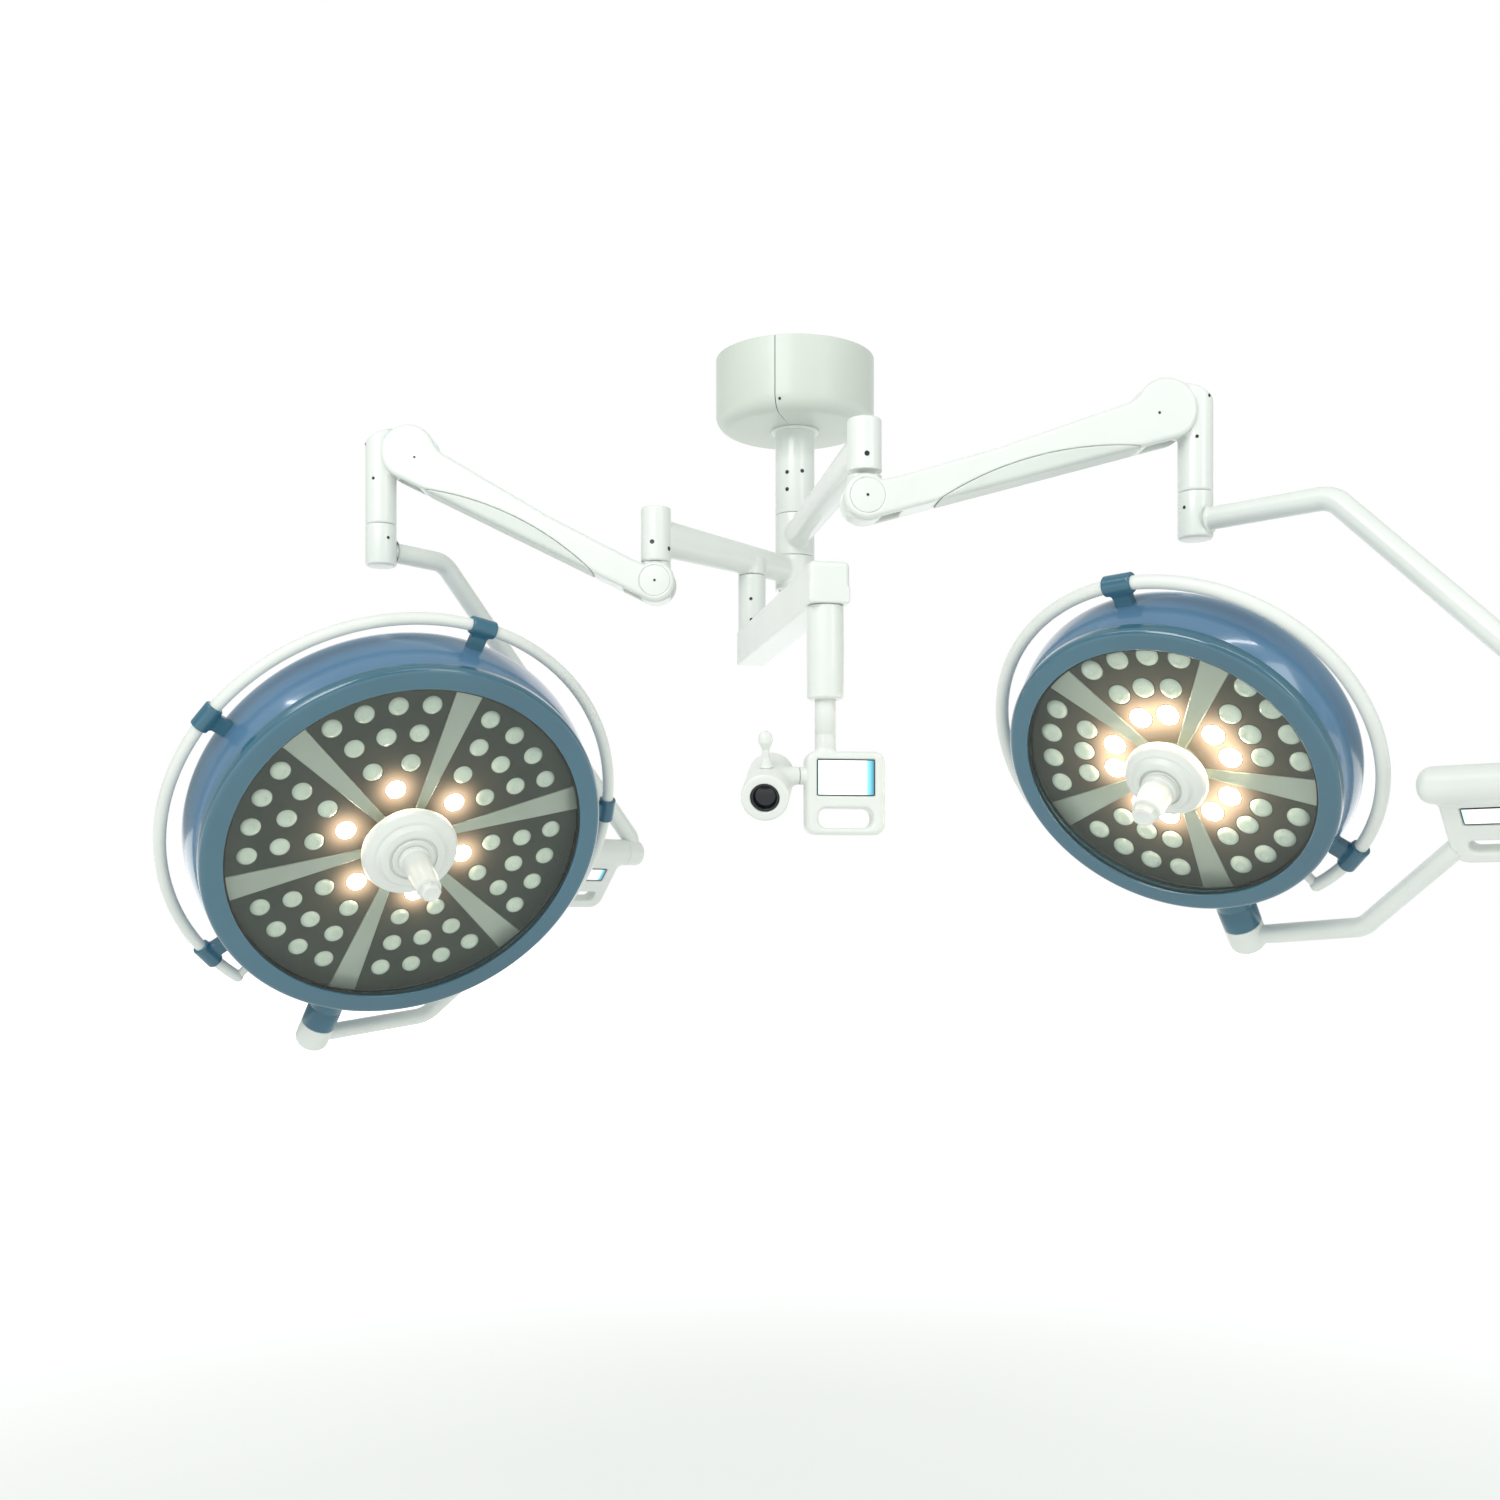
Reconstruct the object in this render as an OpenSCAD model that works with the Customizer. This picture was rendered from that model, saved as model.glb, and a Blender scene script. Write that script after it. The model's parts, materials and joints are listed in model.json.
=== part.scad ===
// Ceiling-mounted surgical light: two LED lamp heads and a camera arm on one ceiling column.
// Frame: origin at the centre of the flange face that meets the ceiling, +Z up, -Y towards the viewer.
// Every value that differs between the lamps is a pair: [right lamp, left lamp].

/* [Ceiling column] */
// Outside diameter of the canopy
canopy_d = 290; // [260:5:340]
// Height of the canopy
canopy_h = 131; // [110:1:150]
// Radius of the canopy's lower edge
canopy_fillet = 28; // [10:1:40]
// Diameter of the column tube and of the hubs
column_d = 72; // [70:1:80]
// Height of the upper hub's top face below the ceiling
upper_hub_top = 286; // [270:1:300]
// Height of the upper hub
upper_hub_h = 76.5; // [70:0.5:80]
// Height of the lower hub
lower_hub_h = 60; // [55:1:66]
// Diameter of the ceiling flange
flange_d = 240; // [230:5:250]
// Diameter of the flange's bolt circle
bolt_circle = 200; // [190:5:210]
// Number of holes on the bolt circle
bolt_count = 6; // [4:1:8]
// Diameter of each bolt hole
bolt_hole_d = 14; // [10:1:16]

/* [Extension arms] */
// Length from the column's axis to the end bearing's axis
ext_len = [595, 339]; // [330:1:640]
// Direction of the arm about the column
ext_yaw = [-81.7, -135.5]; // [-140:0.1:-75]
// Diameter of the end bearing cylinder
bearing_d = 51; // [48:1:54]
// Height of the end bearing cylinder
bearing_h = [84, 93]; // [80:1:96]
// Bottom face of the end bearing below the ceiling
bearing_bottom = [369, 423]; // [360:1:430]
// Width of the oval arm
ext_w = 46; // [40:1:48]
// Height of the oval arm at the column
ext_root_h = 48; // [44:1:54]
// Height of the oval arm at its end
ext_tip_h = 62; // [54:1:66]

/* [Spring arms] */
// Distance between the rear and the front pivot
beam_len = 470; // [450:5:500]
// Direction of the spring arm
beam_yaw = [4.9, 178.7]; // [0:0.1:180]
// Rise of the spring arm above level
beam_pitch = [17.2, 27.8]; // [10:0.1:30]
// Width of the spring arm
beam_w = 64; // [60:1:70]
// Distance from the front pivot to the spigot's axis
spigot_reach = 52; // [50:1:56]
// Diameter of the spigot
spigot_d = 52; // [50:1:54]

/* [Yokes] */
// Direction of the yoke's axis about the spigot
yoke_yaw = [-43.3, 50]; // [-50:0.1:60]
// Height of the yoke's axis below the ceiling
yoke_drop = [838, 899]; // [830:1:910]
// Level run of the outer yoke before its bend
yoke_run = [210, 134]; // [115:1:220]
// Distance from the spigot's axis to the outer yoke's lower leg
yoke_out = [523, 605]; // [515:1:615]
// Diameter of the outer yoke's tube
outer_tube_d = 34; // [30:1:36]
// Diameter of the inner yoke's tube
inner_tube_d = 30; // [26:1:32]
// Tilt of the inner yoke about the yoke's axis
yoke_tilt = [38.7, 35.3]; // [30:0.1:45]

/* [Lamp heads] */
// Outside radius of the head
head_r = [257, 350]; // [250:1:355]
// Radius of the front window
window_r = [217, 303]; // [210:1:308]
// Radius of the outermost ring of lenses
led_ring_r = [190, 261]; // [185:1:265]
// Number of sectors
sectors = [5, 6]; // [5:1:6]
// Distance of the head's centre along the yoke's axis
head_shift = [0, 30]; // [0:1:35]
// Distance of the head's centre above the yoke's axis
head_rise = [75, 25]; // [20:1:80]
// Turn of the head on its elbow
head_turn = [-2.3, 16.1]; // [-20:0.1:20]
// Radius of the grip rail
rail_r = [287, 387]; // [284:1:390]
// Diameter of the grip rail's tube
rail_d = 20; // [16:1:22]
// Half of the gap in the rail at the elbow
rail_gap = [28, 25]; // [24:1:30]
// Radius of the centre hub
hub_r = [62, 82]; // [58:1:86]
// Reach of the handle in front of the window
handle_reach = [96, 130]; // [90:1:135]

/* [Camera arm] */
// Distance of the camera post from the column along the left extension arm
post_out = 111; // [105:1:125]
// Length of the boom from its post to the drop tube
boom_len = 579; // [540:1:600]
// Direction of the boom
boom_yaw = -79.6; // [-90:0.1:-70]
// Bottom face of the boom below the ceiling
boom_bottom = 571; // [565:1:580]
// Height of the boom
boom_h = 60; // [54:1:64]
// Diameter of the drop tube
drop_d = 54; // [50:1:58]
// Width of the control frame
frame_w = 115; // [110:1:120]
// Height of the control frame
frame_h = 120; // [115:1:125]
// Length of the camera barrel
camera_len = 125; // [110:1:130]
// Diameter of the camera barrel
camera_d = 68; // [62:1:70]

/* [Hidden] */
$fn = 64;
RIGHT = 0;
LEFT = 1;
gap = 0.6;            // axial gap between parts that turn on each other
fit = 0.1;            // diametral clearance of a running fit
spindle_d = 46;
bushing_d = 54;
swivel_d = 34;
pin_d = 14;
link_pin_d = 8;
link_drop = 24;       // the link rod's pins sit this far below the main pivots
cheek_in = 20.5;      // inner face of the spring arm's cheeks, from its middle plane
lug_w = 40;           // thickness of the knuckles between the cheeks
rear_r = 33.5;        // rounding of the spring arm at the rear pivot
front_r = 46;         // rounding of the spring arm at the front pivot
knuckle_drop = 35;    // rear pivot below the bearing's bottom face
collar_top = 119;     // outer yoke collar below the front pivot
collar_bottom = 188;
yoke_level = 160;     // outer yoke's level run below the front pivot
yoke_bend_r = 45;
elbow_out = 88;       // elbow's centre outside the head's rim
barrel_span = [[330, 490], [440, 581]];  // control box barrel, along the yoke's axis
inner_bend = [[190, 250], [272, 385]];   // bend of the inner yoke: along the axis, and below it
inner_foot = [[362, 102], [460, 102]];   // where the inner yoke meets the control box
clip_angles = [[-45, 45, 180], [-108, -36, 36, 108, 180]];
barrel_d = 51;
panel_w = 135;
panel_low = 126;      // lower edge of the panel below the yoke's axis
panel_t = 24;
front_z = 60;         // bezel front, from the head's pivot axis
wall_z = [-18, -40];  // widest part of the housing's bulging wall
wall_bend = 50;       // radius of that bulge
back_z = [-70, -92];
plate_z = 29;         // front face of the dark sector plates
rail_z = [-6, -24];
lens_d = 33;

white = [0.90, 0.93, 0.90];
blue = [0.22, 0.38, 0.55];

// ---- places ----
function ray(yaw) = [cos(yaw), sin(yaw), 0];
function rear_pivot(s) = ext_len[s] * ray(ext_yaw[s]) - [0, 0, bearing_bottom[s] + knuckle_drop];
function front_pivot(s) = rear_pivot(s)
    + beam_len * (cos(beam_pitch[s]) * ray(beam_yaw[s]) + [0, 0, sin(beam_pitch[s])]);
function spigot_axis(s) = front_pivot(s) + spigot_reach * ray(beam_yaw[s]);
function post_axis() = post_out * ray(ext_yaw[LEFT]);
function camera_column() = post_axis() + boom_len * ray(boom_yaw);

module at_extension(s, z = 0) rotate([0, 0, ext_yaw[s]]) translate([0, 0, z]) children();
module at_rear(s) translate(rear_pivot(s)) rotate([0, 0, beam_yaw[s]]) children();
module at_beam(s) at_rear(s) rotate([0, -beam_pitch[s], 0]) children();
module at_front(s) translate(front_pivot(s)) rotate([0, 0, beam_yaw[s]]) children();
// Outer yoke: +X along the yoke's axis, +Z up, origin on the spigot's axis at the yoke's axis
module at_yoke(s) {
    p = spigot_axis(s);
    translate([p[0], p[1], -yoke_drop[s]]) rotate([0, 0, yoke_yaw[s]]) children();
}
// Inner yoke: as the outer yoke, tilted about the yoke's axis, with the elbow towards -Z
module at_tilt(s) at_yoke(s) rotate([yoke_tilt[s], 0, 0]) children();
// Head: +Z out of the window, +X towards the elbow, origin at the head's centre
module at_head(s) at_tilt(s) translate([head_shift[s], 0, head_rise[s]])
    multmatrix([[0, 1, 0, 0], [0, 0, -1, 0], [-1, 0, 0, 0], [0, 0, 0, 1]])
    rotate([head_turn[s], 0, 0]) children();

// ---- shared shapes ----
function arc(c, r, from, to, n = 8) =
    [for (i = [0:n]) let (a = from + (to - from) * i / n) c + r * [cos(a), sin(a)]];
// Upright cylinder whose edges are rounded by top_r and bottom_r
module round_post(d, h, top_r = 0.01, bottom_r = 0.01) rotate_extrude()
    polygon(concat([[0, 0]], arc([d / 2 - bottom_r, bottom_r], bottom_r, -90, 0, 6),
        arc([d / 2 - top_r, h - top_r], top_r, 0, 90, 6), [[0, h]]));
// Round bar between two points of the XZ plane
module bar(a, b, d) {
    v = b - a;
    translate([a[0], 0, a[1]]) rotate([0, atan2(v[0], v[1]), 0]) cylinder(d = d, h = norm(v));
}
// Round tube along the points of a path in the XZ plane. Each corner is an elbow of radius r,
// a little thicker than the straights, which reach a short way into it.
socket = 2;
function heading(a, b) = (b - a) / norm(b - a);
function trim(p, i, r) = i == 0 || i == len(p) - 1 ? 0
    : let (u = heading(p[i], p[i - 1]), w = heading(p[i], p[i + 1])) r / tan(acos(u * w) / 2);
module bent_bar(p, r, d) {
    for (i = [0:len(p) - 2]) let (w = heading(p[i], p[i + 1]))
        bar(p[i] + w * max(0, trim(p, i, r) - socket),
            p[i + 1] - w * max(0, trim(p, i + 1, r) - socket), d);
    for (i = [1:len(p) - 2]) {
        u = heading(p[i], p[i - 1]);
        w = heading(p[i], p[i + 1]);
        o = p[i] + (u + w) / norm(u + w) * norm([r, trim(p, i, r)]);
        start = p[i] + u * trim(p, i, r) - o;
        end = p[i] + w * trim(p, i, r) - o;
        turn = atan2(start[0] * end[1] - start[1] * end[0], start * end);
        from = turn > 0 ? start : end;
        translate([o[0], 0, o[1]]) rotate([90, 0, 0]) rotate([0, 0, atan2(from[1], from[0])])
            rotate_extrude(angle = abs(turn)) translate([r, 0]) circle(d = d + 0.6);
    }
}
module rounded_plate(w, h, t, r) translate([0, t / 2, 0]) rotate([90, 0, 0])
    linear_extrude(t) polygon(concat(arc([w / 2 - r, h / 2 - r], r, 0, 90, 6),
        arc([-w / 2 + r, h / 2 - r], r, 90, 180, 6), arc([-w / 2 + r, -h / 2 + r], r, 180, 270, 6),
        arc([w / 2 - r, -h / 2 + r], r, 270, 360, 6)));

// ---- ceiling column ----
module ceiling_flange() color("silver") difference() {
    translate([0, 0, -10]) cylinder(d = flange_d, h = 10);
    for (i = [0:bolt_count - 1]) rotate([0, 0, 30 + i * 360 / bolt_count])
        translate([bolt_circle / 2, 0, -11]) cylinder(d = bolt_hole_d, h = 12);
    translate([0, 0, -11]) cylinder(d = 40, h = 12);
}
screw_places = [[-115, -214], [-70, -212], [-115, -245]];
module column_tube() color(white) difference() {
    translate([0, 0, -upper_hub_top]) cylinder(d = column_d, h = upper_hub_top - 10);
    translate([0, 0, -240]) cylinder(d = column_d - 12, h = 231);
    translate([0, 0, -upper_hub_top - 1]) cylinder(d = spindle_d, h = 60);
    for (p = screw_places) translate([0, 0, p[1]]) rotate([0, 90, p[0]])
        translate([0, 0, column_d / 2 - 4]) cylinder(d = 6, h = 6, $fn = 24);
}
module column_screws() color("dimgray") for (p = screw_places) translate([0, 0, p[1]])
    rotate([0, 90, p[0]]) translate([0, 0, column_d / 2 - 3.9]) difference() {
        cylinder(d = 5.8, h = 3.4, $fn = 24);
        translate([0, 0, 1.6]) cylinder(d = 3, h = 3, $fn = 6);
    }
lower_hub_bottom = upper_hub_top + gap + upper_hub_h + gap + lower_hub_h;
module hub_spindle() color("silver") difference() {
    translate([0, 0, -lower_hub_bottom + 12]) {
        cylinder(d = spindle_d, h = lower_hub_bottom - 12 - upper_hub_top + 46);
        translate([0, 0, -8]) cylinder(d = 56, h = 8);
    }
    translate([0, 0, -lower_hub_bottom]) cylinder(d = 24, h = 300);
}
module hub_bushings() color("goldenrod") for (k = [0, 1]) {
    h = k == 0 ? upper_hub_h : lower_hub_h - 12;
    top = k == 0 ? upper_hub_top + gap : upper_hub_top + 2 * gap + upper_hub_h;
    translate([0, 0, -top - h]) difference() {
        cylinder(d = bushing_d, h = h);
        translate([0, 0, -1]) cylinder(d = spindle_d, h = h + 2);
    }
}
module spindle_cap() color(white) translate([0, 0, -lower_hub_bottom + 0.5])
    cylinder(d = 58, h = 3);
module canopy_shell() difference() {
    translate([0, 0, -canopy_h]) round_post(canopy_d, canopy_h - 1.5, 0.01, canopy_fillet);
    translate([0, 0, -canopy_h + 2.5]) round_post(canopy_d - 5, canopy_h, 0.01, canopy_fillet - 2.5);
    translate([0, 0, -canopy_h - 1]) cylinder(d = column_d + 3, h = 6);
}
canopy_seam = -105.6;  // direction of the joint between the canopy's halves
module canopy_half(side) color(white) intersection() {
    canopy_shell();
    rotate([0, 0, canopy_seam + side * 90]) translate([0.15, -200, -200]) cube([200, 400, 220]);
}
module canopy_left() canopy_half(-1);
module canopy_right() canopy_half(1);
module canopy_collar() color(white) translate([0, 0, -canopy_h - 5]) difference() {
    round_post(column_d + 16, 4.8, 0.5, 2.5);
    translate([0, 0, -1]) cylinder(d = column_d, h = 8);
}

// ---- extension arms ----
function arm_level(s) = s == RIGHT ? -upper_hub_top - gap - upper_hub_h / 2 - 1
    : -upper_hub_top - 2 * gap - upper_hub_h - lower_hub_h / 2 + 5;
module oval(h) rotate([90, 0, 90]) linear_extrude(1) hull() for (k = [-1, 1])
    translate([0, k * (h - ext_w) / 2]) circle(d = ext_w, $fn = 32);
module extension_arm(s) color(white) difference() {
    hub_h = s == RIGHT ? upper_hub_h : lower_hub_h;
    hub_top = s == RIGHT ? upper_hub_top + gap : upper_hub_top + 2 * gap + upper_hub_h;
    tip_z = -bearing_bottom[s] + bearing_h[s] / 2 - 2;
    union() {
        translate([0, 0, -hub_top - hub_h]) cylinder(d = column_d, h = hub_h);
        at_extension(s) hull() {
            translate([18, 0, arm_level(s)]) oval(ext_root_h);
            translate([ext_len[s] - 14, 0, tip_z]) oval(ext_tip_h);
        }
        at_extension(s) translate([ext_len[s], 0, -bearing_bottom[s]])
            round_post(bearing_d, bearing_h[s], 6, 1.5);
        if (s == LEFT) at_extension(s) translate([post_out, 0, -412])
            cylinder(d = 50, h = 30);
    }
    translate([0, 0, -hub_top - hub_h - 1]) cylinder(d = bushing_d + fit, h = hub_h + 2);
    if (s == LEFT) translate([0, 0, -lower_hub_bottom - 1]) cylinder(d = 60, h = 13.4);
    at_extension(s) translate([ext_len[s], 0, -bearing_bottom[s] - 1])
        cylinder(d = swivel_d + fit, h = 66);
    if (s == LEFT) at_extension(s) translate([post_out, 0, -413]) cylinder(d = 28 + fit, h = 38);
    // set screw sockets
    at_extension(s) translate([ext_len[s], 0, -bearing_bottom[s] + 26]) rotate([0, 90, -15])
        translate([0, 0, bearing_d / 2 - 2]) cylinder(d = 4, h = 4, $fn = 24);
}
module extension_arm_right() extension_arm(RIGHT);
module extension_arm_left() extension_arm(LEFT);

// ---- spring arms ----
module rear_knuckle(s) color(white) at_rear(s) difference() {
    union() {
        intersection() {
            translate([0, 0, -knuckle_drop]) cylinder(d = bearing_d, h = 2 * knuckle_drop - gap);
            translate([-50, -lug_w / 2, -60]) cube([100, lug_w, 120]);
            union() {
                rotate([90, 0, 0]) cylinder(r = knuckle_drop, h = 100, center = true);
                translate([-50, -50, 0]) cube([100, 100, 60]);
            }
        }
        translate([0, 0, knuckle_drop - gap - 1]) cylinder(d = swivel_d, h = 62);
    }
    rotate([90, 0, 0]) cylinder(d = pin_d + fit, h = 100, center = true);
    translate([0, 0, -link_drop]) rotate([90, 0, 0])
        cylinder(d = link_pin_d + fit, h = 100, center = true);
    translate([-9, -6.5, -60]) cube([60, 13, 51]);
    translate([9, -6.5, -60]) cube([60, 13, 61]);
}
module rear_knuckle_right() rear_knuckle(RIGHT);
module rear_knuckle_left() rear_knuckle(LEFT);

top_mid = 14;    // top edge above the pivot line at mid-length
top_front = 24;  // top edge in front of the head's rounding
blend_r = 40;    // hollow blend up to the front rounding
blend_x = beam_len - sqrt(pow(front_r + blend_r, 2) - pow(top_front + blend_r, 2));
module beam_outline() polygon(concat(
    arc([0, 0], rear_r, 30, 268, 16),
    arc([beam_len, 0], front_r, -92, 180 - atan2(top_front + blend_r, beam_len - blend_x), 20),
    arc([blend_x, top_front + blend_r], blend_r,
        -atan2(top_front + blend_r, beam_len - blend_x), -90, 6),
    [[beam_len * 0.45, top_mid], [50, 15]]));
// The side seam is an arc that rises from the lower edge and falls back to it
seam_chord = [90, 400];
seam_rise = 24;
seam_half = (seam_chord[1] - seam_chord[0]) / 2;
seam_r = (seam_half * seam_half + seam_rise * seam_rise) / (2 * seam_rise);
module seam_disc(grow = 0) translate([seam_chord[0] + seam_half, -38 + seam_rise - seam_r])
    circle(r = seam_r + grow, $fn = 180);
module across(w) rotate([90, 0, 0]) translate([0, 0, -w / 2]) linear_extrude(w) children();
module beam_hollow() {
    translate([45, -cheek_in, -60]) mirror([1, 0, 0]) cube([200, 2 * cheek_in, 140]);
    translate([beam_len - 44, -cheek_in, -60]) cube([200, 2 * cheek_in, 140]);
    translate([40, -cheek_in, -33]) cube([beam_len - 80, 2 * cheek_in, 42]);
    translate([60, -28, -33]) cube([beam_len - 120, 56, 42]);
}
module spring_beam(s) color(white) at_beam(s) difference() {
    across(beam_w) difference() {
        beam_outline();
        seam_disc(0.3);
    }
    beam_hollow();
    for (x = [0, beam_len]) translate([x, 0, 0]) rotate([90, 0, 0])
        cylinder(d = pin_d, h = 100, center = true);
}
module spring_beam_right() spring_beam(RIGHT);
module spring_beam_left() spring_beam(LEFT);
module beam_cover(s) color([0.82, 0.87, 0.83]) at_beam(s) difference() {
    across(beam_w) intersection() {
        beam_outline();
        seam_disc();
    }
    beam_hollow();
}
module beam_cover_right() beam_cover(RIGHT);
module beam_cover_left() beam_cover(LEFT);
module pivot_pins(s) color("silver") at_beam(s) for (x = [0, beam_len]) translate([x, 0, 0])
    rotate([90, 0, 0]) cylinder(d = pin_d, h = beam_w - 4, center = true);
module pivot_pins_right() pivot_pins(RIGHT);
module pivot_pins_left() pivot_pins(LEFT);
module gas_spring(s) color("dimgray") at_beam(s) translate([62, 0, -2]) rotate([0, 90, 0]) {
    cylinder(d = 8, h = 130);
    translate([0, 0, 130]) cylinder(d = 18, h = 212);
    for (z = [-2, beam_len - 128]) translate([0, 0, z]) rotate([90, 0, 0])
        cylinder(d = 12, h = 40, center = true);
}
module gas_spring_right() gas_spring(RIGHT);
module gas_spring_left() gas_spring(LEFT);
module link_rod(s) color("silver") at_rear(s) translate([0, 0, -link_drop])
    rotate([0, -beam_pitch[s], 0]) {
        translate([0, -5, -4]) cube([beam_len, 10, 8]);
        for (x = [0, beam_len]) translate([x, 0, 0]) rotate([90, 0, 0]) {
            cylinder(d = 12, h = 10, center = true);
            cylinder(d = link_pin_d, h = 36, center = true);
        }
    }
module link_rod_right() link_rod(RIGHT);
module link_rod_left() link_rod(LEFT);
module spigot(s) color(white) at_front(s) difference() {
    union() {
        intersection() {
            rotate([90, 0, 0]) cylinder(r = 40, h = lug_w, center = true);
            translate([-60, -30, -60]) cube([60 + spigot_reach, 60, 120]);
        }
        translate([spigot_reach, 0, -collar_top + gap]) round_post(spigot_d, collar_top + 46, 5);
        translate([spigot_reach, 0, -collar_top - 52]) cylinder(d = 36, h = 60);
    }
    // flats beside the spring arm's cheeks
    for (k = [-1, 1]) translate([-60, k * (lug_w / 2 + 20) - 20, -48.5]) cube([108.5, 40, 120]);
    // sloping top
    translate([spigot_reach - 26, 0, 47]) rotate([0, 24, 0]) translate([-30, -40, 0])
        cube([120, 80, 60]);
    rotate([90, 0, 0]) cylinder(d = pin_d + fit, h = 100, center = true);
    translate([0, 0, -link_drop]) rotate([90, 0, 0])
        cylinder(d = link_pin_d + 1.2, h = 100, center = true);
    translate([-60, -6.5, -60]) cube([69, 13, 51]);
    translate([-60, -6.5, -60]) cube([51, 13, 120]);
}
module spigot_right() spigot(RIGHT);
module spigot_left() spigot(LEFT);

// ---- yokes ----
function fall(s) = yoke_drop[s] + front_pivot(s)[2];  // front pivot above the yoke's axis
module outer_yoke(s) color(white) at_yoke(s) {
    level = fall(s) - yoke_level;
    lower = level - (yoke_out[s] - yoke_run[s]);
    difference() {
        union() {
            translate([0, 0, fall(s) - collar_bottom])
                round_post(spigot_d, collar_bottom - collar_top, 0.5, 5);
            bent_bar([[10, level], [yoke_run[s], level], [yoke_out[s], lower], [yoke_out[s], 0]],
                yoke_bend_r, outer_tube_d);
            translate([barrel_span[s][1] + gap, 0, 0]) rotate([0, 90, 0])
                round_post(barrel_d, yoke_out[s] + outer_tube_d / 2 - barrel_span[s][1] - gap, 6, 0.5);
        }
        translate([0, 0, fall(s) - collar_top - 55]) cylinder(d = 36 + fit, h = 60);
    }
    translate([barrel_span[s][1] - 90, 0, 0]) rotate([0, 90, 0]) cylinder(d = 26, h = 92);
}
module outer_yoke_right() outer_yoke(RIGHT);
module outer_yoke_left() outer_yoke(LEFT);
display = [83, 50, 37];   // width, height and centre below the yoke's axis
grip_slot = [83, 20, 98];
module panel_middle(s, low) translate([barrel_span[s][1] - 3 - panel_w / 2, 0, -low]) children();
module control_box(s) color(white) at_tilt(s) difference() {
    union() {
        translate([barrel_span[s][0], 0, 0]) rotate([0, 90, 0])
            round_post(barrel_d, barrel_span[s][1] - barrel_span[s][0], 0.5, 20);
        panel_middle(s, (panel_low - 8) / 2) rounded_plate(panel_w, panel_low + 8, panel_t, 22);
    }
    translate([barrel_span[s][1] - 92, 0, 0]) rotate([0, 90, 0]) cylinder(d = 26 + fit, h = 200);
    panel_middle(s, grip_slot[2]) rounded_plate(grip_slot[0], grip_slot[1], 60, 9);
    panel_middle(s, display[2] + 10) translate([0, -panel_t / 2 - 30 + 3, 0])
        cube([display[0], 60, display[1] - 20], center = true);
}
module control_box_right() control_box(RIGHT);
module control_box_left() control_box(LEFT);
module control_display(s) color("lightcyan") at_tilt(s) panel_middle(s, display[2] + 10)
    translate([0, -panel_t / 2 + 1.5, 0]) cube([display[0] - 1, 2.8, display[1] - 21], center = true);
module control_display_right() control_display(RIGHT);
module control_display_left() control_display(LEFT);
module inner_yoke(s) color(white) at_tilt(s) difference() {
    elbow = [head_shift[s], head_rise[s] - head_r[s] - elbow_out];
    bend = [inner_bend[s][0], -inner_bend[s][1]];
    foot = [inner_foot[s][0], -inner_foot[s][1]];
    union() {
        bent_bar([elbow, bend, foot], yoke_bend_r, inner_tube_d);
        translate([elbow[0], 0, elbow[1] - 24]) round_post(60, 49.5, 0.5, 18);
        translate([elbow[0], 0, elbow[1]]) cylinder(d = 30, h = 76);
    }
    panel_middle(s, (panel_low - 8) / 2) rounded_plate(panel_w, panel_low + 8, panel_t + 20, 22);
}
module inner_yoke_right() inner_yoke(RIGHT);
module inner_yoke_left() inner_yoke(LEFT);

// ---- lamp heads ----
// Outside of the housing from its front rim to its back, and the same inset by t
function wall_sweep(s) = (pow(39 - wall_z[s], 2) + 144) / 24;  // meets the bezel 12 mm further in
function housing_line(s, t = 0) = concat(
    arc([head_r[s] - wall_sweep(s), wall_z[s]], wall_sweep(s) - t,
        asin((39 - wall_z[s]) / wall_sweep(s)), 0, 8),
    arc([head_r[s] - wall_bend, wall_z[s]], wall_bend - t, -6, -60, 9),
    [[head_r[s] - 90, back_z[s] + t + 2], [60, back_z[s] + t]]);
module housing_form(s) rotate_extrude($fn = 96) polygon(concat([[0, 38]], housing_line(s),
    [[0, back_z[s]]]));
module housing(s) color(blue) at_head(s) difference() {
    union() {
        rotate_extrude($fn = 96) polygon(concat(housing_line(s),
            [for (i = [len(housing_line(s, 3)) - 1:-1:0]) housing_line(s, 3)[i]]));
        translate([0, 0, back_z[s]]) cylinder(r = 61, h = 3);
        translate([head_r[s] - 24, 0, 0]) rotate([0, 90, 0]) cylinder(d = 60, h = 24 + elbow_out - 26);
    }
    translate([head_r[s] - 60, 0, 0]) rotate([0, 90, 0]) cylinder(d = 30 + fit, h = 200);
}
module housing_right() housing(RIGHT);
module housing_left() housing(LEFT);
module bezel(s) color(blue) at_head(s) rotate_extrude($fn = 96) polygon(concat(
    [[window_r[s] + 6, 39.3], [head_r[s] - 10, 39.3]],
    arc([head_r[s] - 29, front_z - 20], 20, 0, 90, 10),
    arc([window_r[s] + 4, front_z - 4], 4, 90, 180, 4), [[window_r[s], 54.2], [window_r[s] + 6, 54.2]]));
module bezel_right() bezel(RIGHT);
module bezel_left() bezel(LEFT);
module glass(s) color([0.7, 0.9, 0.8, 0.4]) at_head(s) translate([0, 0, 50]) difference() {
    cylinder(r = window_r[s] + 5.6, h = 4, $fn = 96);
    translate([0, 0, -1]) cylinder(r = 32, h = 6);
}
module glass_right() glass(RIGHT);
module glass_left() glass(LEFT);
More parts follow.
